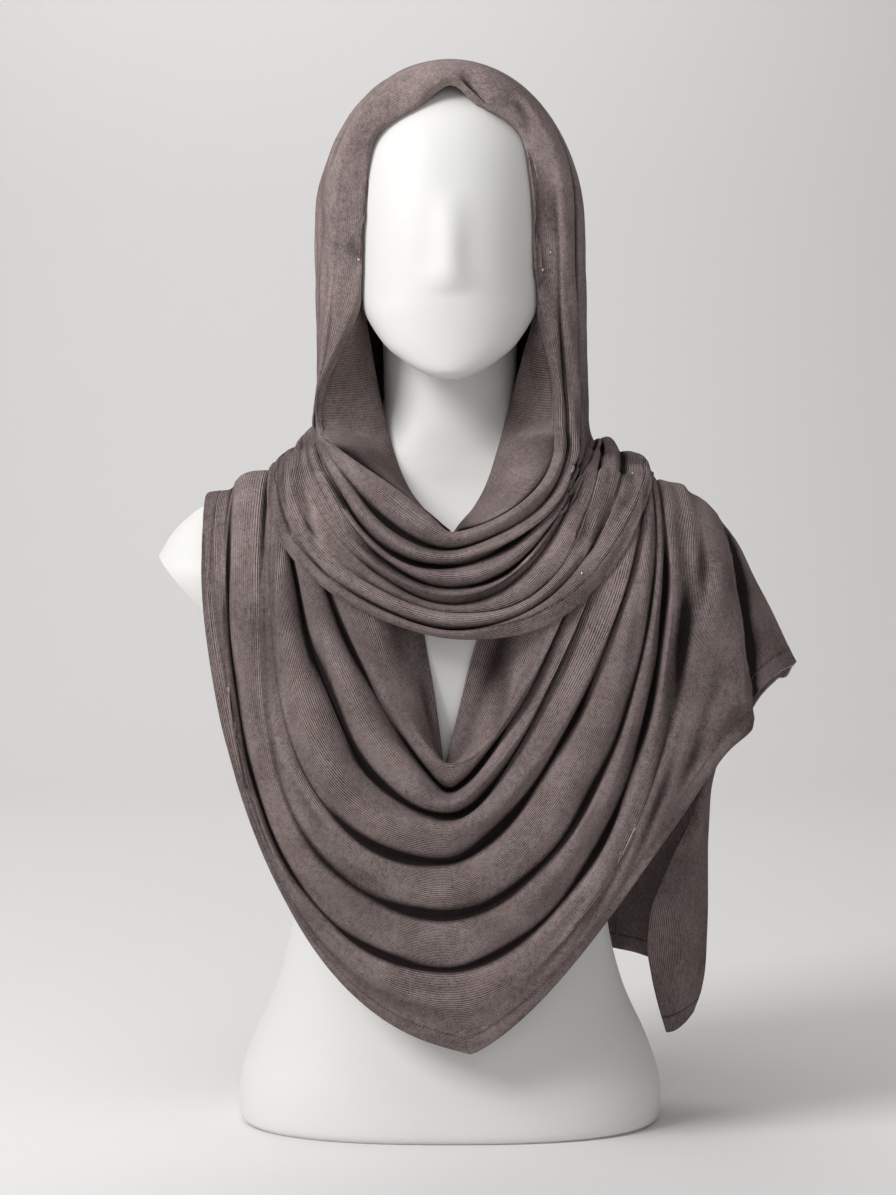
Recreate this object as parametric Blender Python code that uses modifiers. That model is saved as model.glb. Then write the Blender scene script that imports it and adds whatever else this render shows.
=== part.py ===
"""A long jersey scarf worn as a hijab on a limbless bust form.

The form is one moulded white bust: flat base, waist, sloped shoulders cut off square to the arms,
neck and a plain egg-shaped head. The scarf is one cloth, built as the stretches that show: the
hood over the head, its two inner faces beside the neck, the wrap under the chin, the chest drape,
the swag across the back, and the hanging ends behind the right shoulder.

Metres, +Z up, the face looks along -Y. The origin is the middle of the flat base.
Every table is in millimetres.
"""

import math

import bpy
import numpy as np
from mathutils import Vector
from mathutils.bvhtree import BVHTree

MM = 0.001
CLOTH = 1.6 * MM  # jersey with its soft hand
SHOULDER_SEAM = 0.6  # from the shoulder line to the edges that meet there, in millimetres
LAYER_GAP = 0.9 * MM  # from one layer of cloth to what it lies on

BUST_SIDES = 40
SHOULDER_CUT_TOP = (209.0, 383.0)  # outer corner of the flat cut under each shoulder
SHOULDER_CUT_SLOPE = math.radians(41.0)
SHOULDER_CUT_BLOCK = (120.0, 300.0, 100.0)
SHOULDER_CUT_INSET = 20.0  # how far the block's middle lies in from the corner along the cut

# Level rings of the body from the base to inside the head, and of the head from chin to crown:
# height, half width, reach to the front and to the back of the axis, and the power of the oval
# (2 is an ellipse, more is squarer).
BODY_RINGS = (
    # height, half_width, front, back, power
    (0, 145, 91, 91, 2.5),
    (6, 150, 95, 95, 2.5),
    (30, 150, 93, 93, 2.5),
    (58, 141, 88, 88, 2.4),
    (96, 124, 82, 80, 2.4),
    (140, 113, 79, 76, 2.4),
    (190, 109, 80, 75, 2.4),
    (250, 122, 90, 82, 2.4),
    (310, 147, 99, 90, 2.4),
    (350, 175, 100, 94, 2.4),
    (385, 211, 93, 93, 2.4),
    (408, 206, 80, 86, 2.4),
    (426, 193, 68, 77, 2.3),
    (440, 174, 58, 69, 2.2),
    (451, 144, 51, 63, 2.1),
    (462, 104, 47, 60, 2.0),
    (474, 74, 43, 58, 2.0),
    (490, 56, 41, 57, 2.0),
    (508, 49, 40, 57, 2.0),
    (530, 48, 41, 60, 2.0),
    (560, 49, 43, 66, 2.0),
    (595, 50, 45, 73, 2.0),
    (622, 48, 46, 75, 2.0),
)
HEAD_RINGS = (
    # height, half_width, front, back, power
    (521, 6, 89, -80, 2.0),
    (524, 15, 94, -74, 2.0),
    (528, 23, 96, -68, 2.0),
    (535, 33, 97, -58, 2.0),
    (546, 45, 98, -42, 2.0),
    (565, 57, 100, -12, 2.0),
    (580, 63, 101, 18, 2.0),
    (600, 68, 101, 52, 2.1),
    (624, 73, 101, 80, 2.1),
    (650, 75, 99, 88, 2.1),
    (680, 74, 94, 88, 2.1),
    (704, 68, 84, 81, 2.0),
    (724, 55, 67, 66, 2.0),
    (737, 38, 46, 47, 2.0),
    (745, 20, 25, 27, 2.0),
    (748, 8, 10, 11, 2.0),
)
NOSE = {"height": 594.0, "reach": 5.0, "half_width": 10.0, "below": 17.0, "above": 56.0, "behind": -60.0}

# The form that the cloth hangs on: shoulder line height across the body, and how far the cloth
# stands in front and behind.
SHOULDER_LINE = (
    # across, height
    (-250, 330),
    (-200, 424),
    (-171, 451),
    (-140, 464),
    (-120, 472),
    (-95, 485),
    (-60, 500),
    (0, 505),
    (60, 500),
    (100, 492),
    (122, 482),
    (146, 463),
    (167, 450),
    (180, 446),
    (193, 436),
    (206, 417),
    (218, 396),
    (236, 360),
    (250, 331),
)
FRONT_REACH = 128.0
BACK_REACH = 112.0
LEFT_HALF_WIDTH = 212.0  # where the form's oval meets the shoulder line on each side
RIGHT_HALF_WIDTH = 290.0
FORM_POWER = 2.6  # the oval's power, seen from above
SHOULDER_ROUND = 96.0  # height over which the cloth turns down from the shoulder line
NECK_HEIGHT = 515.0  # above this the way out is level from the head
SHOULDER_END = 150.0  # past this the way out leans to the side
HEAD_MIDDLE = 640.0  # above this it rises over the crown
CLEARING_ROUNDS = 5
FINER = 3  # tested points per cell each way
PROBE = 0.2  # metres searched on either side of a sheet for what it covers
STEEPEST = 0.35  # least share of a wall's thickness that counts across a steep face
SAMPLES = 200  # points worked out along half a fold before it is divided evenly

FOLD_COLUMNS = (
    "left_x left_below low_x low_z right_x right_below "
    "left_swing left_drop right_swing right_drop left_out low_out right_out"
).split()

# The chest drape from the neckline roll to the outer edge. Each row is one ridge or trough: where
# it leaves the left shoulder line, its lowest point, where it reaches the right shoulder line,
# how it hangs on each side, and how far it stands out from the form at those three places.
DRAPE_FOLDS = {
    "inner_edge": (-26, 92, -4, 256, 33, 92, 2, 2, 2, 2, -10, -24, -10),
    "inner_face": (-66, 42, -3, 256, 66, 44, 1.5, 1.6, 1.4, 1.6, -16, -22, -14),
    "neckline": (-97, 0, -1, 262, 96, 19, 1.15, 3, 0.9, 3, 0, -15, -4),
    "roll": (-101, 0, -3, 250, 103, 21, 1.45, 1.65, 1.6, 1.35, 0, 1, 0),
    "under_roll": (-104, 0, -3, 240, 109, 20, 1.8, 1.15, 1.4, 1.75, -4, -12, -5),
    "second": (-109, 0, -2, 235, 116, 17, 1.25, 1.15, 1.3, 1.6, 0, -1, 0),
    "under_second": (-114, 0, 0, 227, 123, 17, 0.9, 1.2, 1.1, 2.5, -4, -11, -5),
    "third": (-118, 0, 0, 215, 130, 14, 1.1, 0.55, 1.45, 1.2, 0, 2, 1),
    "under_third": (-121, 0, 0, 195, 136, 0, 0.95, 0.5, 1.3, 1.35, -1, -8, -5),
    "fourth": (-124, 0, -1, 180, 141, 0, 1.05, 0.45, 1.25, 1.15, 0, 2, 1),
    "under_fourth": (-127, 0, -2, 159, 144, 0, 1.15, 0.4, 1.15, 0.9, -7, -5, -2),
    "fifth": (-140, 0, -1, 144, 147, 0, 1, 0.5, 1.2, 0.85, 0, 2, 0),
    "side_trough": (-152, 0, 0, 125, 151, 0, 0.95, 0.6, 1.25, 0.75, -6, -7, -12),
    "side_pleat": (-157, 0, 1, 115, 157, 0, 1, 0.68, 1.25, 0.75, -2, -1, 0),
    "band": (-164, 0, 3, 104, 178, 0, 1, 0.75, 1.15, 1, 0, 2, 0),
    "outer_band": (-170, 0, 8, 89, 207, 0, 1, 0.9, 1.2, 1.7, 0, 0, 0),
    "edge": (-173, 0, 14, 71, 246, 0, 1, 1, 1.2, 3, -4, -4, -10),
}
DRAPE_STATIONS = 40
EDGE_LEAN = 27.0  # the outer folds lean in below the left shoulder
LEANING_FOLDS = ("band", "outer_band", "edge")

# The wrap under the chin, from the roll that ends the face opening down to its lower edge.
WRAP_FOLDS = {
    "opening_roll": (-87, -17, -2, 417, 73, -10, 2.6, 0.8, 1.55, 0.55, 56, -5, 62),
    "roll_belly": (-88, -14, -1, 411, 80, -11, 1.9, 1.2, 1.45, 0.65, 44, 0, 56),
    "under_opening": (-89, -10, -1, 404, 86, -10, 0.9, 2.8, 1.3, 0.8, 30, -7, 40),
    "second_roll": (-91, -8, -1, 398, 88, -8, 0.9, 2.5, 1.1, 1, 20, 1, 38),
    "under_second_roll": (-94, -7, -1, 392, 90, -5, 0.95, 2.2, 0.95, 1.15, 12, -6, 30),
    "third_roll": (-97, -7, -1, 385, 92, -2, 0.97, 2, 0.8, 1.6, 3, 3, 22),
    "under_third_roll": (-104, -7, -1, 378, 94, -1, 1, 1.8, 0.65, 2.2, 1, -2, 12),
    "pocket_lip": (-107, -7, -1, 373, 98, -1, 1.05, 1.7, 0.6, 2.4, 3, 3, 3),
    "pocket": (-111, -7, 1, 366, 103, -1, 1.15, 1.4, 0.6, 2.4, 1, -3, 1),
    "first_shoulder_pleat": (-113, -6, 1, 362, 113, -1, 1.3, 1.1, 0.75, 1.9, 3, 2, 3),
    "shoulder_pleat_trough": (-115, -6, 0, 360, 126, -1, 1.4, 0.9, 0.9, 1.5, 1, 3, 1),
    "low_roll": (-117, -6, -1, 357, 137, -4, 1.5, 0.75, 1.2, 1.15, 3, 12, 3),
    "under_low_roll": (-120, -7, -1, 352, 142, -6, 1.5, 0.75, 1.1, 1.3, 1, 7, 1),
    "edge_roll": (-123, -7, 1, 348, 145, -5, 1.48, 0.75, 0.9, 1.6, 3, 12, 3),
    "wrap_edge": (-127, -4, 3, 343, 148, -2, 1.45, 0.75, 0.65, 1.95, 3, 8, 3),
}
WRAP_STATIONS = 36  # places along each fold
# The swag across the back, in the same folds as the chest drape, from its top edge downwards.
BACK_FOLDS = {
    "top_edge": (-98, 0, 0, 466, 100, 0, 1.2, 1.2, 1.2, 1.2, 2, -4, 2),
    "first": (-104, 0, 2, 446, 109, 18, 1.2, 1.2, 1.2, 1.1, 1, 0, 2),
    "under_first": (-110, 0, 2, 416, 118, 17, 1.1, 1.2, 1.2, 1.1, -3, -5, -3),
    "second": (-116, 0, 4, 386, 128, 14, 1.1, 1.1, 1.2, 1, 0, 3, 1),
    "under_second": (-121, 0, 5, 350, 136, 0, 1.1, 1, 1.15, 1, -3, -6, -4),
    "third": (-127, 0, 8, 322, 141, 0, 1.05, 0.9, 1.1, 0.9, 0, 3, 1),
    "under_third": (-133, 0, 10, 292, 144, 0, 1, 0.8, 1.1, 0.85, -4, -6, -4),
    "fourth": (-140, 0, 12, 262, 147, 0, 1, 0.75, 1.1, 0.8, 0, 3, 0),
    "side_trough": (-152, 0, 14, 232, 151, 0, 1, 0.7, 1.15, 0.75, -6, -5, -8),
    "band": (-164, 0, 16, 204, 157, 0, 1, 0.75, 1.15, 0.7, 0, 2, 0),
    "edge": (-173, 0, 18, 178, 163, 0, 1, 0.8, 1.15, 0.7, -4, -2, -4),
}
BACK_STATIONS = 30

# The hood: arches over the head from behind the face opening to the edge that hangs on the back.
# Each row gives the arch's half widths, its half widths at the feet, where the feet stand, its
# top, and the share of its height that its sides stand straight.
HOOD_COLUMNS = "left right left_foot right_foot foot_y foot_z top_y top_z straight".split()
HOOD_ARCHES = {
    "brow": (82, 77, 94, 82, -60, 494, -72, 737, 0.50),
    "front_fold": (91, 84, 97, 88, -48, 486, -50, 748, 0.53),
    "crown_front": (96, 90, 98, 95, -29, 480, -27, 756, 0.55),
    "crown": (98, 95, 98, 97, -8, 477, 2, 759, 0.54),
    "crown_back": (98, 97, 98, 100, 14, 475, 34, 752, 0.50),
    "back_top": (97, 97, 98, 101, 34, 474, 64, 733, 0.45),
    "back": (95, 96, 97, 101, 50, 472, 88, 700, 0.38),
    "back_low": (92, 94, 96, 100, 62, 470, 101, 645, 0.30),
    "nape": (90, 92, 95, 99, 70, 468, 104, 590, 0.2),
    "nape_fold": (90, 92, 95, 98, 76, 466, 103, 540, 0.1),
    "collar": (92, 94, 95, 98, 82, 462, 108, 494, 0.0),
    "fall_on_back": (94, 96, 96, 99, 88, 456, 122, 452, 0.0),
    "hem": (95, 98, 95, 98, 92, 440, 130, 412, 0.0),
}
HOOD_STATIONS = 28
HOOD_GAP = 1.6 * MM

# The face opening of the hood, from the brow peak down each cheek.
FACE_OPENING = (
    # height, left, right, depth
    (727, 0, 4, -80),
    (712, -18, 13, -78),
    (700, -37, 30, -75),
    (691, -51, 46, -71),
    (676, -55, 52, -68),
    (647, -58, 57, -64),
    (606, -60, 59, -60),
    (578, -64, 61, -58),
    (552, -73, 66, -58),
    (522, -84, 71, -59),
    (500, -88, 74, -61),
)

# The two inner faces of the opening, from behind its edge back to the neck.
INNER_ACROSS = 4
LEFT_INNER = (
    # height, edge_x, edge_y, neck_x, neck_y
    (590, -72, -48, -68, -40),
    (568, -75, -47, -65, -30),
    (545, -81, -46, -59, -21),
    (522, -86, -48, -53, -13),
    (500, -81, -50, -47, -13),
    (482, -75, -57, -42, -33.5),
    (466, -71, -74, -37, -45),
    (446, -57, -94, -28, -57),
    (432, -38, -106, -18, -68),
    (421, -14, -112, -8, -76),
)
RIGHT_INNER = (
    # height, edge_x, edge_y, neck_x, neck_y
    (590, 69, -49, 66, -44),
    (568, 71, -48, 63, -34),
    (545, 75, -47, 56, -27),
    (522, 79, -49, 50, -21),
    (500, 77, -52, 43, -19.5),
    (482, 74, -60, 36, -37.5),
    (466, 69, -74, 31, -45.5),
    (448, 59, -91, 25, -57),
    (433, 42, -104, 18, -68),
    (422, 20, -111, 10, -76),
)

# The end that hangs behind the right shoulder, a row for each fold: on the shoulder line, halfway
# and at the hem, and how far it stands out from the form at each.
FALL_COLUMNS = "top_x mid_x mid_z low_x low_z top_out mid_out low_out".split()
FALL_FOLDS = {
    "spine_edge": (108, 86, 300, 66, 120, 2, 12, 4),
    "first": (122, 102, 298, 84, 117, 5, 20, 12),
    "first_trough": (134, 114, 294, 98, 114, 1, 10, 2),
    "second": (150, 126, 288, 111, 110, 4, 20, 10),
    "second_trough": (168, 141, 278, 124, 106, 1, 7, -1),
    "third": (190, 158, 262, 134, 102, 1, 8, 2),
    "third_trough": (218, 176, 244, 143, 98, 0, -12, -14),
    "edge": (246, 189, 226, 150, 94, 0, -40, -26),
}
FALL_STATIONS = 12
FALL_GAP = 1.2 * MM

# The narrow folded end that hangs in front of it.
TAIL_SECTIONS = (
    # height, left, right, left_depth, right_depth
    (224, 184, 190, 44, 56),
    (206, 178, 190, 42, 58),
    (183, 166, 190, 36, 58),
    (161, 155, 190, 32, 58),
    (143, 148, 190, 30, 58),
    (116, 145, 190, 30, 58),
    (97, 151, 188, 32, 58),
    (78, 156, 186, 34, 57),
    (62, 159, 182, 35, 56),
)
TAIL_ACROSS = 5
TAIL_BOW = 9.0
TAIL_HEM_RISE = 11.0  # the hem climbs this much from left to right
TAIL_HEM_RUN = 60.0  # over this height above it

# The steel pins that hold the folds: where each head shows from the front, and its piece of cloth.
PIN_HEAD_RADIUS = 1.2 * MM
PIN_GAP = 0.3 * MM
PINS = {
    # name: across, height, cloth
    "pin_left_temple": (-66, 605, "hood"),
    "pin_right_temple_low": (64, 598, "hood"),
    "pin_right_temple_high": (69.5, 610, "hood"),
    "pin_wrap": (87, 388, "chin_wrap"),
    "pin_shoulder": (124, 457, "chin_wrap"),
}


def smooth_table(rows, count):
    """Rows resampled to count rows, evenly spaced along a spline through them."""
    rows = np.asarray(rows, float)
    at = np.linspace(0, len(rows) - 1, count)
    low = np.minimum(at.astype(int), len(rows) - 2)
    share = (at - low)[:, None]
    padded = np.vstack([2 * rows[0] - rows[1], rows, 2 * rows[-1] - rows[-2]])
    before, start, end, after = (padded[low + step] for step in range(4))
    return (
        start
        + 0.5 * share * (end - before)
        + share**2 * (before - 2.5 * start + 2 * end - 0.5 * after)
        + share**3 * (1.5 * (start - end) + 0.5 * (after - before))
    )


def oval(share, power):
    return np.maximum(0.0, 1.0 - np.abs(share) ** power) ** (1.0 / power)


def shoulder_height(x):
    across, height = zip(*SHOULDER_LINE)
    return np.interp(x, across, height)


def form_depth(x, z, reach):
    """How far the cloth's form stands from the shoulder line, at a place across and a height."""
    half_width = np.where(x < 0, LEFT_HALF_WIDTH, RIGHT_HALF_WIDTH)
    fall = np.clip((shoulder_height(x) - z) / SHOULDER_ROUND, 0, 1)
    return reach * oval(x / half_width, FORM_POWER) * np.sqrt(1 - (1 - fall) ** 2)


def way_out(point):
    """The direction straight out of the body: from the head's middle, or from inside the shoulders."""
    x, y, z = point
    if z > NECK_HEIGHT:
        return Vector((x, y, max(0.0, z - HEAD_MIDDLE))).normalized()
    past_shoulder = math.copysign(max(0.0, abs(x) - SHOULDER_END), x)
    return Vector((past_shoulder, y, max(0.0, z - shoulder_height(x) + SHOULDER_ROUND))).normalized()


def between(grid, steps):
    """The grid with its cells divided, so that their insides can be tested too."""
    for _ in range(2):
        at = np.linspace(0, len(grid) - 1, (len(grid) - 1) * steps + 1)
        low = np.minimum(at.astype(int), len(grid) - 2)
        share = (at - low)[:, None, None]
        grid = (grid[low] * (1 - share) + grid[low + 1] * share).swapaxes(0, 1)
    return grid


def lift_over(point, out, trees, gap):
    """How far a sheet's point has to move out to lie on what it covers, in millimetres."""
    most = 0.0
    for tree in trees:
        hit, normal = tree.ray_cast(Vector(point) * MM + out * PROBE, -out, 2 * PROBE)[:2]
        if hit is not None:
            slant = max(STEEPEST, abs(normal.dot(out)))
            most = max(most, (hit - Vector(point) * MM).dot(out) + (CLOTH + gap) / slant)
    return most / MM


def clear_of(grid, beneath, gap=LAYER_GAP):
    """A sheet's points, moved out wherever the sheet would lie in what it covers."""
    graph = bpy.context.evaluated_depsgraph_get()
    trees = [BVHTree.FromObject(obj, graph) for obj in beneath]
    for _ in range(CLEARING_ROUNDS):
        fine = between(grid, FINER)
        lifts = np.array([[lift_over(point, way_out(point), trees, gap) for point in row] for row in fine])
        for row in range(grid.shape[0]):
            for column in range(grid.shape[1]):
                top, left = (max(0, place * FINER - FINER + 1) for place in (row, column))
                lift = lifts[top : row * FINER + FINER, left : column * FINER + FINER].max()
                grid[row, column] += lift * np.array(way_out(grid[row, column]))
    return grid


def even_half(points, stations):
    """One half of a fold resampled to evenly spaced stations along its length."""
    steps = np.linalg.norm(np.diff(points, axis=0), axis=1)
    along = np.concatenate([[0], np.cumsum(steps)])
    wanted = np.linspace(0, along[-1], stations)
    return np.stack([np.interp(wanted, along, points[:, axis]) for axis in range(points.shape[1])], 1)


def joined_halves(left, right, stations):
    """A whole fold from its left half and its right half, which both end at the middle."""
    half = stations // 2 + 1
    return np.vstack([even_half(left, half), even_half(right, half)[-2::-1]])


def hang_half(fold, side, lean):
    """From the shoulder line down to the fold's lowest point: across, height and stand-out."""
    turn = np.linspace(0, math.pi / 2, SAMPLES)
    near, far = np.abs(np.cos(turn)), np.sin(turn)
    x = fold["low_x"] + (fold[side + "_x"] - fold["low_x"]) * near ** fold[side + "_swing"]
    top = shoulder_height(fold[side + "_x"]) - fold[side + "_below"]
    z = top - (top - fold["low_z"]) * far ** fold[side + "_drop"]
    out = fold[side + "_out"] * near**2 + fold["low_out"] * far**2
    return np.stack([x + lean * near**7 * far, z, out], axis=1)


def fold_grid(folds, stations, reach, facing, rising, leaning=()):
    """The points of a hanging stretch of cloth, a row for each fold.

    A fold's stand-out is level on the chest. Where it is rising, it turns up over the shoulders.
    """
    grid = []
    for name, values in folds.items():
        fold = dict(zip(FOLD_COLUMNS, values))
        lean = EDGE_LEAN if name in leaning else 0.0
        path = joined_halves(hang_half(fold, "left", lean), hang_half(fold, "right", 0.0), stations)
        x, z, out = path.T
        up = 1 - np.clip((shoulder_height(x) - z) / SHOULDER_ROUND, 0, 1) if rising else 0 * x
        y = facing * (form_depth(x, z, reach) + out * np.sqrt(1 - up**2) + SHOULDER_SEAM)
        grid.append(np.stack([x, y, z + out * up], axis=-1))
    return np.array(grid)


def arch(values, stations):
    """One arch of the hood from its left foot over its top to its right foot."""
    row = dict(zip(HOOD_COLUMNS, values))
    rise = np.sin(np.linspace(0, math.pi / 2, SAMPLES))
    bend = np.clip((rise - row["straight"]) / (1 - row["straight"]), 0, 1)
    y = row["foot_y"] + (row["top_y"] - row["foot_y"]) * rise
    z = row["foot_z"] + (row["top_z"] - row["foot_z"]) * rise
    halves = []
    for side, sign in (("left", -1), ("right", 1)):
        taper = (row[side] - row[side + "_foot"]) * (1 - rise) ** 3
        halves.append(np.stack([sign * (row[side] - taper) * np.sqrt(1 - bend**2), y, z], axis=1))
    return joined_halves(*halves, stations)


def opening_edge(stations):
    """The edge of the hood round the face."""
    table = smooth_table(FACE_OPENING, SAMPLES)[::-1]
    height, left, right, depth = table.T
    return joined_halves(
        np.stack([left, depth, height], axis=1), np.stack([right, depth, height], axis=1), stations
    )


def hood_grid():
    """The hood from the edge round the face, over the head, to the hem on the back."""
    arches = [arch(values, HOOD_STATIONS) for values in HOOD_ARCHES.values()]
    return np.array([opening_edge(HOOD_STATIONS)] + arches)


def inner_grid(table):
    """An inner face of the opening, a row for each height, curving from its edge to the neck."""
    grid = []
    share = np.linspace(0, 1, INNER_ACROSS)
    for height, edge_x, edge_y, neck_x, neck_y in table:
        x = edge_x + (neck_x - edge_x) * share
        y = edge_y + (neck_y - edge_y) * share**1.5
        grid.append(np.stack([x, y, np.full(INNER_ACROSS, height)], axis=1))
    return np.array(grid)


def fall_grid():
    """The end behind the right shoulder, a row for each fold."""
    grid = []
    for values in FALL_FOLDS.values():
        fold = dict(zip(FALL_COLUMNS, values))
        fold["top_z"] = shoulder_height(fold["top_x"])
        places = [[fold[place + part] for part in ("_x", "_z", "_out")] for place in ("top", "mid", "low")]
        x, z, out = smooth_table(places, FALL_STATIONS).T
        grid.append(np.stack([x, form_depth(x, z, BACK_REACH) + out + SHOULDER_SEAM, z], axis=1))
    return np.array(grid)


def tail_grid():
    """The narrow end, a row for each level section, bowed forward between its two edges."""
    grid = []
    share = np.linspace(0, 1, TAIL_ACROSS)
    for height, left, right, left_depth, right_depth in TAIL_SECTIONS:
        x = left + (right - left) * share
        y = left_depth + (right_depth - left_depth) * share - TAIL_BOW * np.sin(math.pi * share)
        near_hem = max(0.0, 1 - (height - TAIL_SECTIONS[-1][0]) / TAIL_HEM_RUN)
        z = height + TAIL_HEM_RISE * near_hem * (share**1.5 - 0.7)
        grid.append(np.stack([x, y, z], axis=1))
    return np.array(grid)


def new_material(name, colour, roughness, metallic=0.0):
    material = bpy.data.materials.new(name)
    material.use_nodes = True
    shader = material.node_tree.nodes["Principled BSDF"]
    shader.inputs["Base Color"].default_value = (*colour, 1.0)
    shader.inputs["Roughness"].default_value = roughness
    shader.inputs["Metallic"].default_value = metallic
    return material


def mesh_object(name, collection, material, points, faces):
    mesh = bpy.data.meshes.new(name)
    mesh.from_pydata([tuple(point) for point in points], [], faces)
    mesh.materials.append(material)
    mesh.shade_smooth()
    obj = bpy.data.objects.new(name, mesh)
    collection.objects.link(obj)
    return obj


def grid_faces(rows, columns, closed=False):
    return [
        (
            row * columns + column,
            row * columns + (column + 1) % columns,
            (row + 1) * columns + (column + 1) % columns,
            (row + 1) * columns + column,
        )
        for row in range(rows - 1)
        for column in range(columns if closed else columns - 1)
    ]


def faces_body(grid):
    """Whether the sheet's faces look towards the body's axis."""
    across = np.cross(grid[1:, :-1] - grid[:-1, :-1], grid[:-1, 1:] - grid[:-1, :-1])
    outward = grid[:-1, :-1] * (1, 1, 0)
    return np.sum(across * outward) > 0


def cloth(name, collection, material, grid):
    """A sheet through a grid of points in millimetres, thickened towards the body."""
    if faces_body(grid):
        grid = grid[:, ::-1]
    rows, columns = grid.shape[:2]
    obj = mesh_object(name, collection, material, grid.reshape(-1, 3) * MM, grid_faces(rows, columns))
    wall = obj.modifiers.new("Wall", "SOLIDIFY")
    wall.thickness = CLOTH
    wall.offset = -1.0
    wall.use_quality_normals = True
    return obj


def ring(height, half_width, front, back, power):
    """One level ring of the bust, anticlockwise from its right side."""
    points = []
    for step in range(BUST_SIDES):
        turn = 2 * math.pi * step / BUST_SIDES
        c, s = math.cos(turn), math.sin(turn)
        x = math.copysign(abs(c) ** (2 / power), c) * half_width
        y = math.copysign(abs(s) ** (2 / power), s) * (front + back) / 2 + (back - front) / 2
        points.append((x, y, height))
    return points


def nose_reach(x, z):
    span = NOSE["above"] if z > NOSE["height"] else NOSE["below"]
    along = max(0.0, 1 - ((z - NOSE["height"]) / span) ** 2)
    across = math.exp(-((x / NOSE["half_width"]) ** 2))
    return NOSE["reach"] * along * across


def ring_loft(name, collection, material, rings):
    """A closed solid through level rings, with the nose raised on the front of the face."""
    points = []
    for values in smooth_table(rings, 2 * len(rings) - 1):
        for x, y, z in ring(*values):
            y -= nose_reach(x, z) if y < NOSE["behind"] else 0
            points.append((x * MM, y * MM, z * MM))
    faces = grid_faces(len(points) // BUST_SIDES, BUST_SIDES, closed=True)
    faces.append(tuple(reversed(range(BUST_SIDES))))
    faces.append(tuple(range(len(points) - BUST_SIDES, len(points))))
    return mesh_object(name, collection, material, points, faces)


def add_boolean(target, other, operation):
    other.hide_render = True
    other.display_type = "WIRE"
    step = target.modifiers.new(other.name, "BOOLEAN")
    step.operation = operation
    step.object = other


def build_bust(collection, cutters, material):
    bust = ring_loft("bust_form", collection, material, BODY_RINGS)
    head = ring_loft("head_shape", cutters, material, HEAD_RINGS)
    add_boolean(bust, head, "UNION")
    for side in (-1, 1):
        add_boolean(bust, shoulder_cutter(cutters, side), "DIFFERENCE")
    return bust


def shoulder_cutter(cutters, side):
    """The block that takes the flat slanted cut where an arm would start."""
    bpy.ops.mesh.primitive_cube_add(size=1.0)
    cutter = bpy.context.object
    cutter.name = "shoulder_cut_left" if side < 0 else "shoulder_cut_right"
    cutter.scale = [length * MM for length in SHOULDER_CUT_BLOCK]
    cutter.rotation_euler = (0, side * SHOULDER_CUT_SLOPE, 0)
    across, down = math.cos(SHOULDER_CUT_SLOPE), math.sin(SHOULDER_CUT_SLOPE)
    half = SHOULDER_CUT_BLOCK[2] / 2
    corner_x, corner_z = SHOULDER_CUT_TOP
    centre_x = corner_x + down * half - across * SHOULDER_CUT_INSET
    centre_z = corner_z - across * half - down * SHOULDER_CUT_INSET
    cutter.location = (side * centre_x * MM, 0, centre_z * MM)
    move_to(cutter, cutters)
    return cutter


def move_to(obj, collection):
    for owner in list(obj.users_collection):
        owner.objects.unlink(obj)
    collection.objects.link(obj)


def add_pin(name, collection, material, across, height, holder):
    """A pin's round head, seated on the cloth that lies behind that place."""
    graph = bpy.context.evaluated_depsgraph_get()
    tree = BVHTree.FromObject(holder, graph)
    hit, normal = tree.ray_cast(Vector((across * MM, -PROBE, height * MM)), Vector((0, 1, 0)))[:2]
    centre = hit + normal * (PIN_HEAD_RADIUS + PIN_GAP)
    bpy.ops.mesh.primitive_ico_sphere_add(radius=PIN_HEAD_RADIUS, subdivisions=2, location=centre)
    pin = bpy.context.object
    pin.name = name
    pin.data.materials.append(material)
    pin.data.shade_smooth()
    move_to(pin, collection)


def clear_scene():
    for obj in list(bpy.data.objects):
        bpy.data.objects.remove(obj, do_unlink=True)


def main():
    clear_scene()
    scene = bpy.context.scene
    part = bpy.data.collections.new("jersey_hijab_on_bust")
    cutters = bpy.data.collections.new("cutters")
    scene.collection.children.link(part)
    scene.collection.children.link(cutters)
    white = new_material("bust_white", (0.80, 0.79, 0.76), 0.55)
    jersey = new_material("jersey", (0.105, 0.080, 0.077), 0.9)
    steel = new_material("pin_steel", (0.55, 0.54, 0.53), 0.3, metallic=1.0)
    bust = build_bust(part, cutters, white)
    cloth("inner_face_left", part, jersey, inner_grid(LEFT_INNER))
    cloth("inner_face_right", part, jersey, inner_grid(RIGHT_INNER))
    grid = fold_grid(DRAPE_FOLDS, DRAPE_STATIONS, FRONT_REACH, -1, True, LEANING_FOLDS)
    drape = cloth("chest_drape", part, jersey, clear_of(grid, [bust]))
    grid = fold_grid(BACK_FOLDS, BACK_STATIONS, BACK_REACH, 1, True)
    swag = cloth("back_swag", part, jersey, clear_of(grid, [bust]))
    grid = fold_grid(WRAP_FOLDS, WRAP_STATIONS, FRONT_REACH, -1, False)
    wrap = cloth("chin_wrap", part, jersey, clear_of(grid, [bust, drape]))
    grid = fall_grid()
    cloth("back_fall", part, jersey, clear_of(grid, [bust, swag], FALL_GAP))
    grid = hood_grid()
    hood = cloth("hood", part, jersey, clear_of(grid, [bust, drape, swag, wrap], HOOD_GAP))
    cloth("tail", part, jersey, tail_grid())
    for name, (across, height, holder) in PINS.items():
        add_pin(name, part, steel, across, height, {"hood": hood, "chin_wrap": wrap}[holder])


main()
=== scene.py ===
"""The look of a jersey scarf worn as a hijab on a plain white bust form.

The cloth is built as the long folds that it hangs in. The shawl is one sheet round the body: each
of its folds runs over the chest from the left shoulder to the right one and back round behind. The
cowl is one sheet round the face: each of its loops runs over the head and down under the chin. The
ends hang behind the right shoulder. Left and right are the viewer's, and tables are in millimetres.
"""

import math

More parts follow.
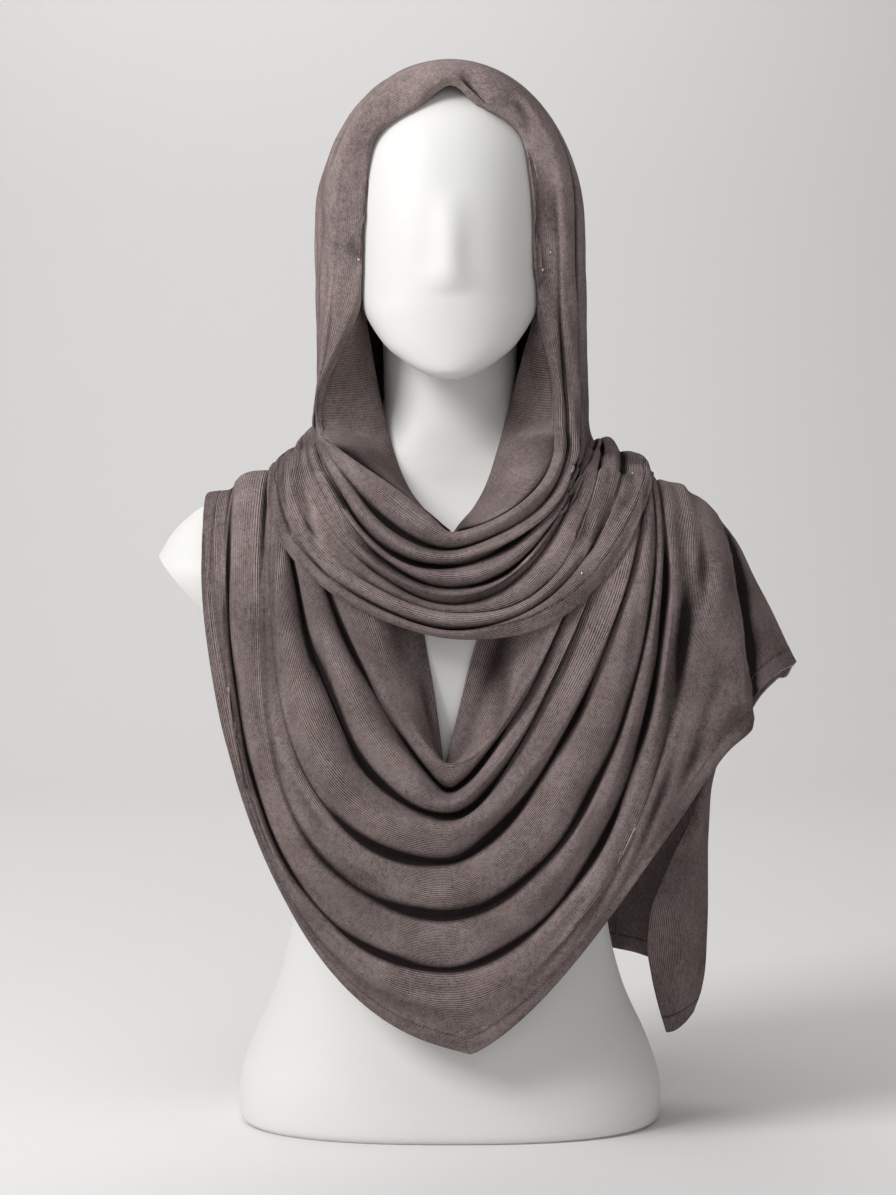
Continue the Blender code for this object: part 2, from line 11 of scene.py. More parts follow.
import bmesh
import bpy
import numpy as np
from mathutils import Matrix, Vector
from mathutils.bvhtree import BVHTree


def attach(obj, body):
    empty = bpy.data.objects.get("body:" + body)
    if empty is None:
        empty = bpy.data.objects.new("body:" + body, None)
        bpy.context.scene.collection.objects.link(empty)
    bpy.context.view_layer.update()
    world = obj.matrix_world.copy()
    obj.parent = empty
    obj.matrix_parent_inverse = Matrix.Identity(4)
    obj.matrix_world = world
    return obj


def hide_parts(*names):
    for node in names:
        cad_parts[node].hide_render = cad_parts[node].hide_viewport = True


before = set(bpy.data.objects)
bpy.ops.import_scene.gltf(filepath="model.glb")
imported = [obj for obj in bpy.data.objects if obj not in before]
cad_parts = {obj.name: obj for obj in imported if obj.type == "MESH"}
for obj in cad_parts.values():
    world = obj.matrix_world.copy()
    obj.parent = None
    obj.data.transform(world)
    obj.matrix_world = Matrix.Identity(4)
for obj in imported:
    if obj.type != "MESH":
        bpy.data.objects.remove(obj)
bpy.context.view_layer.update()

MM = 0.001
CLOTH = 1.6  # thickness of the jersey
RIB = 1.2  # from one wale of the knit to the next
# The jersey's tone runs from dark to light; the painted shade in the troughs takes it down to the
# dark end.
JERSEY_DARK = (0.010, 0.006, 0.006, 1.0)
JERSEY_LIGHT = (0.395, 0.320, 0.314, 1.0)
JERSEY_WARM = (0.390, 0.296, 0.274, 1.0)
THREAD = (0.20, 0.155, 0.15)
# What makes the jersey lighter or darker, and by how much: the knit's ribs, fuzz, flecks and
# patches, and painted shade along the hem's crease.
SHADE = {"middle": 0.57, "rib": 0.38, "fuzz": 1.1, "flecks": 0.5, "patchy": 0.5, "fold_line": 0.35}
BUMP = {"rib": 0.8, "fuzz": 1.2, "depth": 0.0006}  # depth in metres
WAVER = 1.6  # how far the wales wander, as a phase
WARMTH = {"middle": 0.4, "spread": 2.4}
# How narrow the hem's crease is: both its dent in the bump and its line of painted shade.
HEM_CREASE_SHARPNESS = 0.8
# Painted shade in the folds' troughs and painted highlight on their ridges: its strength and
# limits, the depths it is measured over, and how it fades behind.
PAINTED_FOLD_SHADE = {"weight": 1.8, "lightest": -0.2, "darkest": 0.94, "less_behind": 0.65}
PAINTED_SHADE_SCALES = ((8, 1.0), (26, 3.2))  # rounds of smoothing, and the depth that counts as full
BEHIND = {"from_y": 10.0, "over": 50.0}
RIBS_FADE = {"from_z": 530.0, "over": 80.0, "share": 0.75}  # the ribs are fainter over the head
RIB_STRETCH = (0.2, 5.0)  # least and most
NOISE = {
    # scale, detail, roughness
    "waver": (90.0, 1.0, 0.5),
    "rib": (30.0, 2.0, 0.5),
    "fuzz": (700.0, 4.0, 0.7),
    "flecks": (260.0, 2.0, 0.6),
    "patchy": (24.0, 3.0, 0.6),
    "warm": (60.0, 3.0, 0.7),
    "plaster": (260.0, 2.0, 0.5),
}

# ---- the form under the cloth

# Level rings of the bust: height, half width, reach to the front and back, power of the oval.
BODY_RINGS = (
    (0, 145, 91, 91, 2.5),
    (6, 150, 95, 95, 2.5),
    (30, 150, 93, 93, 2.5),
    (58, 141, 88, 88, 2.4),
    (96, 124, 82, 80, 2.4),
    (140, 113, 79, 76, 2.4),
    (190, 109, 80, 75, 2.4),
    (250, 122, 90, 82, 2.4),
    (310, 147, 99, 90, 2.4),
    (350, 175, 100, 94, 2.4),
    (385, 211, 93, 93, 2.4),
    (408, 206, 80, 86, 2.4),
    (426, 193, 68, 77, 2.3),
    (440, 174, 58, 69, 2.2),
    (451, 144, 51, 63, 2.1),
    (462, 104, 47, 60, 2.0),
    (474, 74, 43, 58, 2.0),
    (490, 56, 41, 57, 2.0),
    (508, 49, 40, 57, 2.0),
    (530, 48, 41, 60, 2.0),
    (560, 49, 43, 66, 2.0),
    (595, 50, 45, 73, 2.0),
    (622, 48, 46, 75, 2.0),
)
HEAD_RINGS = (
    (521, 6, 89, -80, 2.0),
    (524, 15, 94, -74, 2.0),
    (528, 23, 96, -68, 2.0),
    (535, 33, 97, -58, 2.0),
    (546, 45, 98, -42, 2.0),
    (565, 57, 100, -12, 2.0),
    (580, 63, 101, 18, 2.0),
    (600, 68, 101, 52, 2.1),
    (624, 73, 101, 80, 2.1),
    (650, 75, 99, 88, 2.1),
    (680, 74, 94, 88, 2.1),
    (704, 68, 84, 81, 2.0),
    (724, 55, 67, 66, 2.0),
    (737, 38, 46, 47, 2.0),
    (745, 20, 25, 27, 2.0),
    (748, 8, 10, 11, 2.0),
)
RING_SIDES = 120
RING_STEPS = 5
NOSE = {
    "height": 594.0,
    "reach": 5.0,
    "half_width": 10.0,
    "below": 17.0,
    "above": 56.0,
    "behind": -60.0,
    "wider": 0.25,
    "widens_over": 20.0,
}
SHOULDER_CUT_TOP = (209.0, 383.0)
SHOULDER_CUT_SLOPE = math.radians(41.0)
SHOULDER_CUT_BLOCK = (120.0, 300.0, 100.0)
SHOULDER_CUT_INSET = 20.0
SHARP_ANGLE = math.radians(40)

# The line the cloth turns over on the shoulders: across, height. Each step is a pleat's edge.
SHOULDER_LINE = (
    (-250, 330),
    (-200, 424),
    (-176, 446),
    (-170, 451),
    (-154, 452.5),
    (-151, 461),
    (-146, 464.5),
    (-128, 466),
    (-124, 468),
    (-118, 472),
    (-95, 481),
    (-60, 496),
    (0, 503),
    (60, 496),
    (100, 480),
    (122, 471),
    (140, 463),
    (148, 459.5),
    (153, 457.5),
    (164, 456),
    (170, 449),
    (180, 445),
    (194, 429),
    (209, 405),
    (223, 379),
    (250, 328),
    (256, 316),
)
FRONT_REACH = 128.0
BACK_REACH = 112.0
LEFT_HALF_WIDTH = 212.0
RIGHT_HALF_WIDTH = 290.0
FORM_POWER = 2.6
SHOULDER_ROUND = 96.0
NECK_HEIGHT = 515.0
SHOULDER_END = 150.0
HEM_TUCK = {"from_z": 230.0, "over": 170.0, "depth": 10.0}  # the chest's point hangs in to the form
HEAD_MIDDLE = 640.0
CLEARING = {"reach": 0.12, "least_slant": 0.4, "share": 0.8, "gap": 0.8}  # reach in metres

HALF_POINTS = 240  # on half a fold, before it is cut to even stations
LEAN_POWER = 7
RELIEF_AT_TOP = 0.35  # share of a fold's stand-out that is there at the shoulder line
RELIEF_GROWS_OVER = 22.0
RIPPLE = {"waves": 14, "shortest": 0.4, "longest": 1.3, "join": 12}  # join in columns
CREASE = {"points": 33, "fade": 0.25, "power": 1.6}

# ---- the shawl

# A fold hangs from its left end on the shoulder line to its lowest point and up to its right end.
FOLD_COLUMNS = (
    "left_x left_below low_x low_z right_x right_below left_swing left_drop right_swing right_drop"
).split()

# Its folds over the chest, from the turned-in neckline to the hem: ridges and troughs.
FRONT_FOLDS = {
    "inner_edge": (-94, 0, -4, 256, 94, 19, 2, 6.6, 2, 4.2),
    "inner_face": (-95, 0, -3, 258, 95, 19, 1.6, 4.6, 1.5, 3.3),
    "neckline": (-97, 0, 0, 261, 96, 19, 1.1, 3, 0.95, 2.6),
    "roll": (-101, 0, -1, 251, 103, 21, 1.35, 1.75, 1.5, 1.4),
    "roll_trough": (-104, 0, -2, 240, 109, 20, 1.75, 1.2, 1.4, 1.75),
    "second": (-109, 0, -2, 235, 116, 17, 1.25, 1.15, 1.3, 1.6),
    "second_trough": (-114, 0, 0, 226, 123, 17, 0.9, 1.2, 1.1, 2.5),
    "third": (-118, 0, 0, 215, 130, 14, 1.1, 0.55, 1.45, 1.2),
    "third_trough": (-121, 0, 0, 195, 134, 0, 0.95, 0.5, 1.3, 1.35),
    "fourth": (-124, 0, -1, 180, 138, 0, 1.05, 0.45, 1.25, 1.15),
    "fourth_trough": (-127, 0, -2, 159, 140, 0, 1.15, 0.4, 1.15, 0.9),
    "fifth": (-139, 0, -1, 144, 143, 0, 1, 0.5, 1.2, 0.85),
    "side_trough": (-151, 0, 0, 124, 146, 0, 0.95, 0.66, 1.2, 0.75),
    "side_pleat": (-156, 0, 1, 114, 151, 0, 1, 0.7, 1.2, 0.75),
    "band": (-163, 0, 3, 104, 163, 0, 1, 0.75, 1.15, 0.85),
    "outer_band": (-168, 0, 7, 92, 192, 0, 1, 0.9, 1.2, 1.5),
    "flare_fold": (-171, 0, 11, 81, 224, 0, 1, 0.95, 1.22, 2.3),
    "edge": (-173, 0, 14, 71, 250, 0, 1, 1, 1.3, 3.1),
}

# How far each stands out of the form along its way, at these shares of each half from its end.
RELIEF_PLACES = (0.03, 0.3, 0.65, 1.0)
RELIEF_COLUMNS = "left_top left_side left_lower low right_lower right_side right_top".split()
FRONT_RELIEF = {
    "inner_edge": (-20, -26, -26, -26, -26, -26, -20),
    "inner_face": (-14, -20, -20, -20, -20, -20, -14),
    "neckline": (0, 0, -1, -5, 0, 0, -2),
    "roll": (0, 2, 2, -8, 3, 2, 1),
    "roll_trough": (-4, -8, -12, -23, -15, -12, -8),
    "second": (0, 1, 2, 1, 2, 2, 1),
    "second_trough": (-3, -14, -14, -12, -14, -16, -6),
    "third": (0, 1, 1, 4, 4, 4, 3),
    "third_trough": (0, 0, -1, -8, -10, -11, -6),
    "fourth": (0, 0, 1, 4, 5, 4, 2),
    "fourth_trough": (-3, 0, -1, -4, -4, -2, -2),
    "fifth": (0, 0, 1, 4, 4, 2, 0),
    "side_trough": (-6, -8, -7, -3.5, -7, -16, -6),
    "side_pleat": (0, 0, 1, 2, 2, 3, 1),
    "band": (0, 0, 2, 3, 1, -2, -1),
    "outer_band": (0, 0, 0, 1, 1, 2, 0),
    "flare_fold": (0, 0, 0, 0, 0, 0, 0),
    "edge": (-1, -1, -2, -2, -1, -1, -1),
}
CHEST_STATIONS = 200

# The same folds behind. They start and end where the ones in front do.
BACK_COLUMNS = "low_x low_z left_swing left_drop right_swing right_drop".split()
BACK_FOLDS = {
    "inner_edge": (0, 476, 1.2, 1.2, 1.2, 1.2),
    "inner_face": (0, 473, 1.2, 1.2, 1.2, 1.2),
    "neckline": (0, 470, 1.2, 1.2, 1.2, 1.2),
    "roll": (0, 461, 1.2, 1.2, 1.2, 1.2),
    "roll_trough": (1, 446, 1.2, 1.2, 1.2, 1.2),
    "second": (2, 432, 1.2, 1.2, 1.2, 1.15),
    "second_trough": (2, 414, 1.15, 1.2, 1.2, 1.1),
    "third": (3, 394, 1.15, 1.15, 1.2, 1.1),
    "third_trough": (4, 370, 1.1, 1.1, 1.2, 1.05),
    "fourth": (5, 346, 1.1, 1.05, 1.15, 1),
    "fourth_trough": (6, 320, 1.1, 1, 1.15, 1),
    "fifth": (8, 292, 1.05, 0.9, 1.1, 0.95),
    "side_trough": (10, 262, 1, 0.8, 1.1, 0.9),
    "side_pleat": (12, 243, 1, 0.75, 1.1, 0.9),
    "band": (14, 218, 1, 0.75, 1.1, 1),
    "outer_band": (16, 192, 1, 0.8, 1.05, 1.1),
    "flare_fold": (17, 170, 1, 0.83, 1.02, 1.25),
    "edge": (18, 148, 1, 0.85, 1, 1.36),
}
BACK_RELIEF = {
    "inner_edge": (-20, -8, -6, -6, -6, -8, -20),
    "inner_face": (-14, -7, -5, -5, -5, -7, -14),
    "neckline": (0, -2, -3, -3, -3, -2, -2),
    "roll": (0, 0, 0, 0, 0, 0, 1),
    "roll_trough": (-4, -3, -5, -5, -4, -4, -8),
    "second": (0, 1, 2, 2, 2, 1, 1),
    "second_trough": (-3, -3, -4, -6, -5, -3, -6),
    "third": (0, 2, 3, 3, 3, 2, 3),
    "third_trough": (0, -4, -7, -6, -4, -3, -6),
    "fourth": (0, 2, 3, 3, 3, 2, 2),
    "fourth_trough": (-6, -4, -4, -7, -8, -4, -3),
    "fifth": (1, 2, 3, 4, 3, 2, 0),
    "side_trough": (-6, -7, -8, -7, -6, -5, -6),
    "side_pleat": (0, 1, 1, 1, 2, 2, 1),
    "band": (0, 2, 3, 3, 1, 0, -3),
    "outer_band": (0, 0, -2, -3, -2, 0, 0),
    "flare_fold": (0, 1, 0, 1, 2, 1, 0),
    "edge": (-1, -1, -1, -2, -1, -1, -1),
}
BACK_STATIONS = 120
LEANING_FOLDS = ("band", "outer_band", "edge")
EDGE_LEAN = 27.0
SHOULDER_GAP = 2.0  # each side of the shoulder line to the first points
BRIDGE_COLUMNS = 5
SHAWL_STEPS = 8  # fine rows from one fold to the next
SHAWL_SOFTENING = 6
HEM_FOLDS = 3  # the last folds, over which the hem takes its shape
PINCH_IN, PINCH_OUT = 0.6, 0.42  # how tight a trough is on its upper and lower side: 1 is even

# The flare over the right arm folds back along a line that leans out as it falls.
FLARE = {
    "line_x": 188.5,
    "line_z": 420.0,
    "lean": 0.118,
    "turn": 8.0,
    "share": 0.46,
    "dip": 7.0,
    "rise": 4.0,
    "end_x": 246.0,
    "end_over": 26.0,
    "corner_before": 1.8,
    "corner_after": 0.5,
    "climb_over": 1.2,
}
HEM_POINT = {"x": 14.0, "half_width": 12.0, "drop": 4.5}
# How the hem behind climbs to the tip.
TIP = {"x": 228.0, "half_width": 20.0, "lift": 25.0, "from_below": 8.0, "over": 40.0}

# ---- the cowl

# Its loops over the head, from the edge round the face to the hem behind, as arches: half widths,
# half widths at the feet, where the feet stand, the top, the share of the height that its sides
# stand straight, and how far each side stands out as a fold.
ARCH_COLUMNS = (
    "left right left_foot right_foot foot_y foot_z top_y top_z straight left_fold right_fold"
).split()
HOOD_ARCHES = {
    "first_trough": (75, 74, 91, 81, -60, 524, -79, 738, 0.58, -2, -4),
    "second": (84, 83, 92, 87, -54, 518, -64, 744, 0.56, 1, 3),
    "second_trough": (90, 89, 93, 92, -44, 512, -46, 749, 0.54, 0, -5),
    "third": (95, 94, 93, 95, -30, 508, -26, 753, 0.52, 0, 3),
    "third_trough": (97, 96, 93, 97, -12, 504, -4, 756, 0.50, 0, -3),
    "lip": (98, 97, 94, 98, 8, 500, 18, 756, 0.49, 0, 2),
    "pocket": (98, 97, 95, 98, 26, 494, 40, 750, 0.46, 0, -3),
    "first_pleat": (97, 97, 95, 97, 42, 488, 62, 736, 0.42, 0, 1),
    "pleat_trough": (95, 96, 93, 94, 54, 482, 82, 710, 0.36, -2, -2),
    "low_roll": (92, 94, 90, 92, 66, 478, 97, 664, 0.28, 1, 1),
    "low_trough": (90, 92, 88, 89, 78, 472, 104, 596, 0.18, -2, -2),
    "edge_roll": (91, 93, 90, 90, 88, 460, 110, 510, 0.05, 1, 1),
    "hem": (96, 98, 96, 98, 100, 434, 129, 410, 0.0, -1, -1),
}
FACE_OPENING = (
    # height, left, right, depth
    (724, 0, 3, -82),
    (716, -12, 11, -80),
    (704, -24, 24, -77),
    (697, -37, 38, -74),
    (692, -47, 45, -72),
    (686, -51, 48, -70),
    (677, -53, 49, -69),
    (657, -55, 51, -66),
    (606, -57, 53, -63),
    (578, -61, 58, -61),
    (556, -69, 63, -60),
    (534, -79, 68, -60),
    (520, -86, 71, -60),
)
OPENING_ROLL = 5.0  # from the opening's edge to the top of the roll along it

# The same loops under the chin, from the roll that ends the face opening down to the lower edge.
# The outs are how far its ends and its lowest point stand off the form.
WRAP_COLUMNS = FOLD_COLUMNS + "left_out low_out right_out".split()
WRAP_FOLDS = {
    "rim": (-88, 0, -1, 416, 72, -8, 2.4, 1.67, 1.5, 0.6, 60, -3, 62),
    "belly": (-90, 0, -1, 411, 77, -8, 1.7, 1.9, 1.5, 0.66, 61, -1, 64),
    "first_trough": (-92, 0, -1, 404, 83, -7, 1.0, 2.24, 1.4, 0.75, 57, 0, 62),
    "second": (-93, -1, -1, 398, 88, -6, 0.9, 2.1, 1.3, 0.85, 51, 0, 56),
    "second_trough": (-95, -3, -1, 392, 92, -4, 0.8, 1.96, 1.2, 1.12, 42, 0, 46),
    "third": (-97, -8, -1, 385, 95, -4, 0.95, 1.6, 0.92, 1.5, 30, 1, 34),
    "third_trough": (-100, -11, -1, 378, 98, -3, 1.1, 1.34, 0.8, 1.95, 16, 1, 20),
    "lip": (-103, -13, -1, 373, 101, -3, 1.15, 1.25, 0.86, 2.0, 6, 1, 8),
    "pocket": (-107, -11, 1, 369, 105, -3, 1.2, 1.1, 0.88, 2.25, 3, 2, 4),
    "first_pleat": (-110, -7, 1, 364, 108, -6, 1.3, 1.0, 0.7, 2.1, 4, 3, 5),
    "pleat_trough": (-113, -6, 0, 361, 110, -3, 1.4, 0.88, 0.6, 2.1, 4, 5, 5),
    "low_roll": (-117, -6, -1, 356, 116, -10, 1.5, 0.75, 0.73, 1.47, 4, 9, 6),
    "low_trough": (-120, -7, -1, 351, 127, -8, 1.5, 0.75, 0.8, 1.72, 4, 10, 6),
    "edge_roll": (-124, -7, 1, 348, 140, -8, 1.48, 0.75, 1.0, 1.56, 4, 11, 6),
    "hem": (-128, -4, 3, 343, 146.5, -2, 1.45, 0.75, 0.69, 1.95, 4, 9, 5),
}
WRAP_RELIEF = {
    "rim": (0, 0, 0, -2, -1, 0, 0),
    "belly": (0, 1, 2, 3, 3, 2, 0),
    "first_trough": (0, 0, -8, -9, -9, -6, -3),
    "second": (0, 1, 2, 3, 3, 2, 2),
    "second_trough": (0, -1, -10, -11, -9, -4, -2),
    "third": (0, 1, 3, 4, 4, 1, 1),
    "third_trough": (0, -6, -12, -12, -8, -1, -1),
    "lip": (1, 2, 3, 4, 2, 0, 0),
    "pocket": (0, 0, -1, -18, -8, -2, -2),
    "first_pleat": (1, 1, 2, 1, 1, 1, 1),
    "pleat_trough": (0, 0, 0, 0, -2, -7, -4),
    "low_roll": (1, 2, 3, 4, 3, 4, 3),
    "low_trough": (0, 0, -2, -7, -6, -6, -4),
    "edge_roll": (0, 1, 2, 2, 4, 5, 3),
    "hem": (-1, -1, -2, -2, -2, -2, -1),
}
CREASE_COLUMNS = "start_x start_z middle_x middle_z end_x end_z width out".split()
COWL_CREASES = {
    "right_of_the_peak": (8, 732, 16, 720, 28, 705, 3.5, -4),
    "puff_beside_it": (18, 733, 28, 722, 38, 708, 6, 2.5),
    "above_the_corner": (42, 718, 51, 702, 55, 684, 3.5, -1.5),
    "left_of_the_peak": (-2, 733, -14, 726, -30, 712, 5, 1.5),
    "by_the_left_temple": (-72, 618, -66, 611, -61, 602, 3, -1.2),
    "under_the_rim": (-50, 440.5, -31.5, 430.5, -9.5, 417, 1.6, -2.5),
    "outer_layer": (88, 470, 85, 444, 86, 400, 5, -2.5),
}
SHAWL_CREASES = {
    "left_pleat": (-127, 462, -127, 430, -124, 380, 3.5, -1.5),
    "soft_left_swell": (-100, 330, -92, 270, -70, 225, 16, 3),
    "flare_hollow": (158, 410, 153, 350, 148, 280, 10, -2),
}
ARCH_STATIONS = 74  # from where a loop leaves the wrap to its top
WRAP_STATIONS = 92  # from there to its lowest point
COWL_STEPS = 8
COWL_SOFTENING = {"times": 8, "from_z": 580.0, "over": 60.0}
BRIDGE_PULL = 40.0  # how far a fold keeps its direction where the hood turns into the wrap
BRIDGE_POINTS = 30
SIGN = {"left": -1, "right": 1}
ARCH_POINTS = 160  # on half an arch, before it is cut to even stations
WRAP_RELIEF_POINTS = 200
FOLD_FADE = 0.95  # share of an arch's height up to which its folds reach
PEAK_RUN = 14.0  # how far below its peak the opening's edge starts to turn level
ROLL_RADIUS = 2.6  # of the rolled edge round the face
ROLL_TURN = math.radians(215)
ROLL_ROWS = 8

# ---- the inner faces, ends and pins

# The inner faces of the opening run from behind its rolled edge back to the neck.
INNER_FACES = {
    # height, and where the face meets the neck: across, forward
    "inner_face_left": (
        (606, -66, -44),
        (568, -63, -34),
        (545, -59, -29),
        (522, -55, -27),
        (500, -50, -30),
        (482, -45, -36),
        (466, -39, -44),
        (446, -30, -56),
        (432, -20, -68),
        (420, -9, -78),
        (406, 2, -88),
    ),
    "inner_face_right": (
        (606, 64, -46),
        (568, 62, -36),
        (545, 56, -31),
        (522, 50, -29),
        (500, 44, -32),
        (482, 38, -38),
        (466, 33, -46),
        (448, 27, -57),
        (433, 19, -69),
        (421, 9, -78),
        (406, 0, -88),
    ),
}
INNER = {
    "rows": 60,
    "columns": 40,
    "below_z": 640.0,
    "set_back": 4.0,
    "bend_x": 0.9,
    "bend_y": 1.5,
    "tuck_from": 0.86,
    "tuck_back": 9.0,
    "tuck_in": 2.5,
}

FALL_COLUMNS = "top_x mid_x mid_z low_x low_z top_out mid_out low_out".split()
FALL_FOLDS = {
    "spine_edge": (84, 84, 300, 64, 120, -8, -12, -14),
    "first": (96, 98, 298, 84, 117, -6, -8, -8),
    "first_trough": (108, 110, 294, 98, 114, -8, -14, -16),
    "second": (120, 122, 288, 111, 110, -6, -9, -8),
    "second_trough": (132, 134, 278, 124, 106, -8, -16, -18),
    "third": (142, 168, 232, 140, 102, -8, -12, -12),
    "edge": (156, 192, 218, 158, 98, -10, -22, -26),
}
FALL = {"rows": 90, "steps": 10, "below_shoulder": 8.0}
TAIL_SECTIONS = (
    # height, left, right, left_depth, right_depth
    (262, 196, 204, 44, 62),
    (224, 184, 195, 42, 60),
    (206, 177, 194, 40, 60),
    (183, 165, 193, 36, 60),
    (161, 155, 193, 32, 60),
    (143, 148, 193, 30, 60),
    (116, 145, 192, 30, 59),
    (97, 148, 191, 32, 58),
    (78, 153, 188, 34, 57),
    (60, 159, 182, 35, 56),
)
TAIL = {
    "rows": 100,
    "columns": 50,
    "bow": 9.0,
    "hem_run": 60.0,
    "hem_rise": 11.0,
    "hem_bend": 1.5,
    "hem_level": 0.7,
}

PIN_HEAD = 1.1
PIN_OUT = 0.3
IN_FRONT = 0.4  # metres, well clear of the cloth
PIN_SIDES = {"u_segments": 16, "v_segments": 10}
PINS = {
    # across, up
    "pin_left_temple": (-63, 605),
    "pin_right_temple_low": (63.8, 598),
    "pin_right_temple_high": (69.3, 610),
    "pin_wrap": (87, 388),
    "pin_shoulder": (126, 457),
}
HEM = 11.0  # from the edge to the row of hem stitches
STITCH = {"spacing": 2.6, "length": 1.0, "thickness": 0.3, "out": 0.15}

# ---- sums on tables and grids


def curve(t, start, start_way, end, end_way):
    """From start to end as t goes from 0 to 1, leaving and arriving in the given directions."""
    return (
        (1 + 2 * t) * (1 - t) ** 2 * start
        + t * (1 - t) ** 2 * start_way
        + t**2 * (3 - 2 * t) * end
        + t**2 * (t - 1) * end_way
    )


def smooth(at, knots, values):
    """Values between the knots on a curve that never overshoots them."""
    knots, values, at = (np.asarray(item, float) for item in (knots, values, at))
    wide = [1] * (values.ndim - 1)
    gap = np.diff(knots).reshape(-1, *wide)
    slope = np.diff(values, axis=0) / gap
    lean = np.zeros_like(values)
    before, after = slope[:-1], slope[1:]
    one, two = 2 * gap[1:] + gap[:-1], gap[1:] + 2 * gap[:-1]
    same = before * after > 0
    safe_before, safe_after = np.where(same, before, 1), np.where(same, after, 1)
    lean[1:-1] = np.where(same, (one + two) / (one / safe_before + two / safe_after), 0)
    lean[0], lean[-1] = slope[0], slope[-1]
    low = np.clip(np.searchsorted(knots, at, "right") - 1, 0, len(knots) - 2)
    step = gap[low]
    t = ((at - knots[low]) / step.reshape(at.shape)).reshape(*at.shape, *wide)
    return curve(t, values[low], step * lean[low], values[low + 1], step * lean[low + 1])


def shoulder_height(x):
    across, height = zip(*SHOULDER_LINE)
    x = np.clip(np.asarray(x, float), across[0], across[-1])
    return smooth(x.reshape(-1), across, height).reshape(x.shape)


def oval(share, power):
    return np.maximum(0.0, 1.0 - np.abs(share) ** power) ** (1.0 / power)


def step_up(x):
    x = np.clip(x, 0, 1)
    return x * x * (3 - 2 * x)


def form_depth(x, z, reach):
    """How far the cloth's form stands from the shoulder line, at a place across and a height."""
    half_width = np.where(x < 0, LEFT_HALF_WIDTH, RIGHT_HALF_WIDTH)
    fall = np.clip((shoulder_height(x) - z) / SHOULDER_ROUND, 0, 1)
    depth = reach * oval(x / half_width, FORM_POWER) * np.sqrt(1 - (1 - fall) ** 2)
    past = (x - flare_line(z)) / FLARE["turn"]
    return depth * (1 - FLARE["share"] * step_up(past))


def flare_line(z):
    return FLARE["line_x"] + (FLARE["line_z"] - z) * FLARE["lean"]


def way_along(points):
    """How far along its path each point lies. The paths of a grid run from its first row."""
    gap = np.linalg.norm(np.diff(points, axis=0), axis=-1)
    return np.concatenate([np.zeros_like(gap[:1]), np.cumsum(gap, axis=0)])


def even(points, stations):
    """A path resampled to evenly spaced stations."""
    along = way_along(points)
    wanted = np.linspace(0, along[-1], stations)
    return np.stack([np.interp(wanted, along, values) for values in points.T], axis=1)


def hang_half(fold, side, lean=0.0):
    """From the shoulder line down to a fold's lowest point: across and height."""
    turn = np.linspace(0, math.pi / 2, HALF_POINTS)
    near, far = np.abs(np.cos(turn)), np.sin(turn)
    x = fold["low_x"] + (fold[side + "_x"] - fold["low_x"]) * near ** fold[side + "_swing"]
    top = float(shoulder_height(fold[side + "_x"])) - fold[side + "_below"]
    z = top - (top - fold["low_z"]) * far ** fold[side + "_drop"]
    return np.stack([x + lean * near**LEAN_POWER * far, z], axis=1)


def relief_along(relief, side, count):
    """How far a fold stands out at evenly spaced places from its end to its lowest point."""
    values = [relief[side + "_top"], relief[side + "_side"], relief[side + "_lower"], relief["low"]]
    return smooth(np.clip(np.linspace(0, 1, count), RELIEF_PLACES[0], 1), RELIEF_PLACES, values)


def whole_fold(fold, relief, stations, lean=0.0):
    half = stations // 2 + 1
    halves = []
    for side in SIGN:
        path = even(hang_half(fold, side, lean if side == "left" else 0.0), half)
        halves.append(np.column_stack([path, relief_along(relief, side, half)]))
    return np.vstack([halves[0], halves[1][-2::-1]])


def pinched(at, names):
    """Places between rows, crowded so that a trough is narrow and the ridge beside it round."""
    trough = np.array(["trough" in name or "pocket" in name for name in names])
    low = np.minimum(at.astype(int), len(names) - 2)
    t = at - low
    rising, falling = trough[low] & ~trough[low + 1], ~trough[low] & trough[low + 1]
    t = np.where(rising, t**PINCH_OUT, np.where(falling, 1 - (1 - t) ** PINCH_IN, t))
    return low + t


def fine_places(rows, steps):
    return np.linspace(0, rows - 1, (rows - 1) * steps + 1)


def between_folds(lines, names, steps):
    """Fine rows through lines along the folds: which, where, and how far each stands out."""
    at, knots = fine_places(len(names), steps), np.arange(len(names))
    out = smooth(pinched(at, names), knots, lines[:, :, -1])
    return at, smooth(at, knots, lines[:, :, :-1]), out


def stand_out(x, z, out, facing, reach):
    """Points on the form with their stand-out, which turns up over the shoulders."""
    below = shoulder_height(x) - z
    up = 1 - np.clip(below / SHOULDER_ROUND, 0, 1)
    out = out * (RELIEF_AT_TOP + (1 - RELIEF_AT_TOP) * step_up(below / RELIEF_GROWS_OVER))
    low = step_up((HEM_TUCK["from_z"] - z) / HEM_TUCK["over"])
    tuck = HEM_TUCK["depth"] * low if facing < 0 else 0
    y = facing * (form_depth(x, z, reach) - tuck + out * np.sqrt(1 - up**2))
    return np.stack([x, y, z + out * up], axis=-1)


def creased(grid, creases):
    """A closed sheet with the listed creases pressed into its front."""
    total = np.zeros(grid.shape[:2])
    for values in creases.values():
        row = dict(zip(CREASE_COLUMNS, values))
        knots = [[row[place + "_x"], row[place + "_z"]] for place in ("start", "middle", "end")]
        path = smooth(np.linspace(0, 2, CREASE["points"]), range(3), knots)
        gap = np.linalg.norm(grid[:, :, None, (0, 2)] - path, axis=3)
        share = np.argmin(gap, axis=2) / (CREASE["points"] - 1)
        fade = step_up(share / CREASE["fade"]) * step_up((1 - share) / CREASE["fade"])
        near = np.exp(-np.abs(np.min(gap, axis=2) / row["width"]) ** CREASE["power"])
        total += row["out"] * fade * near
    return grid + grid_normals(grid, True) * (total * (grid[:, :, 1] < 0))[:, :, None]


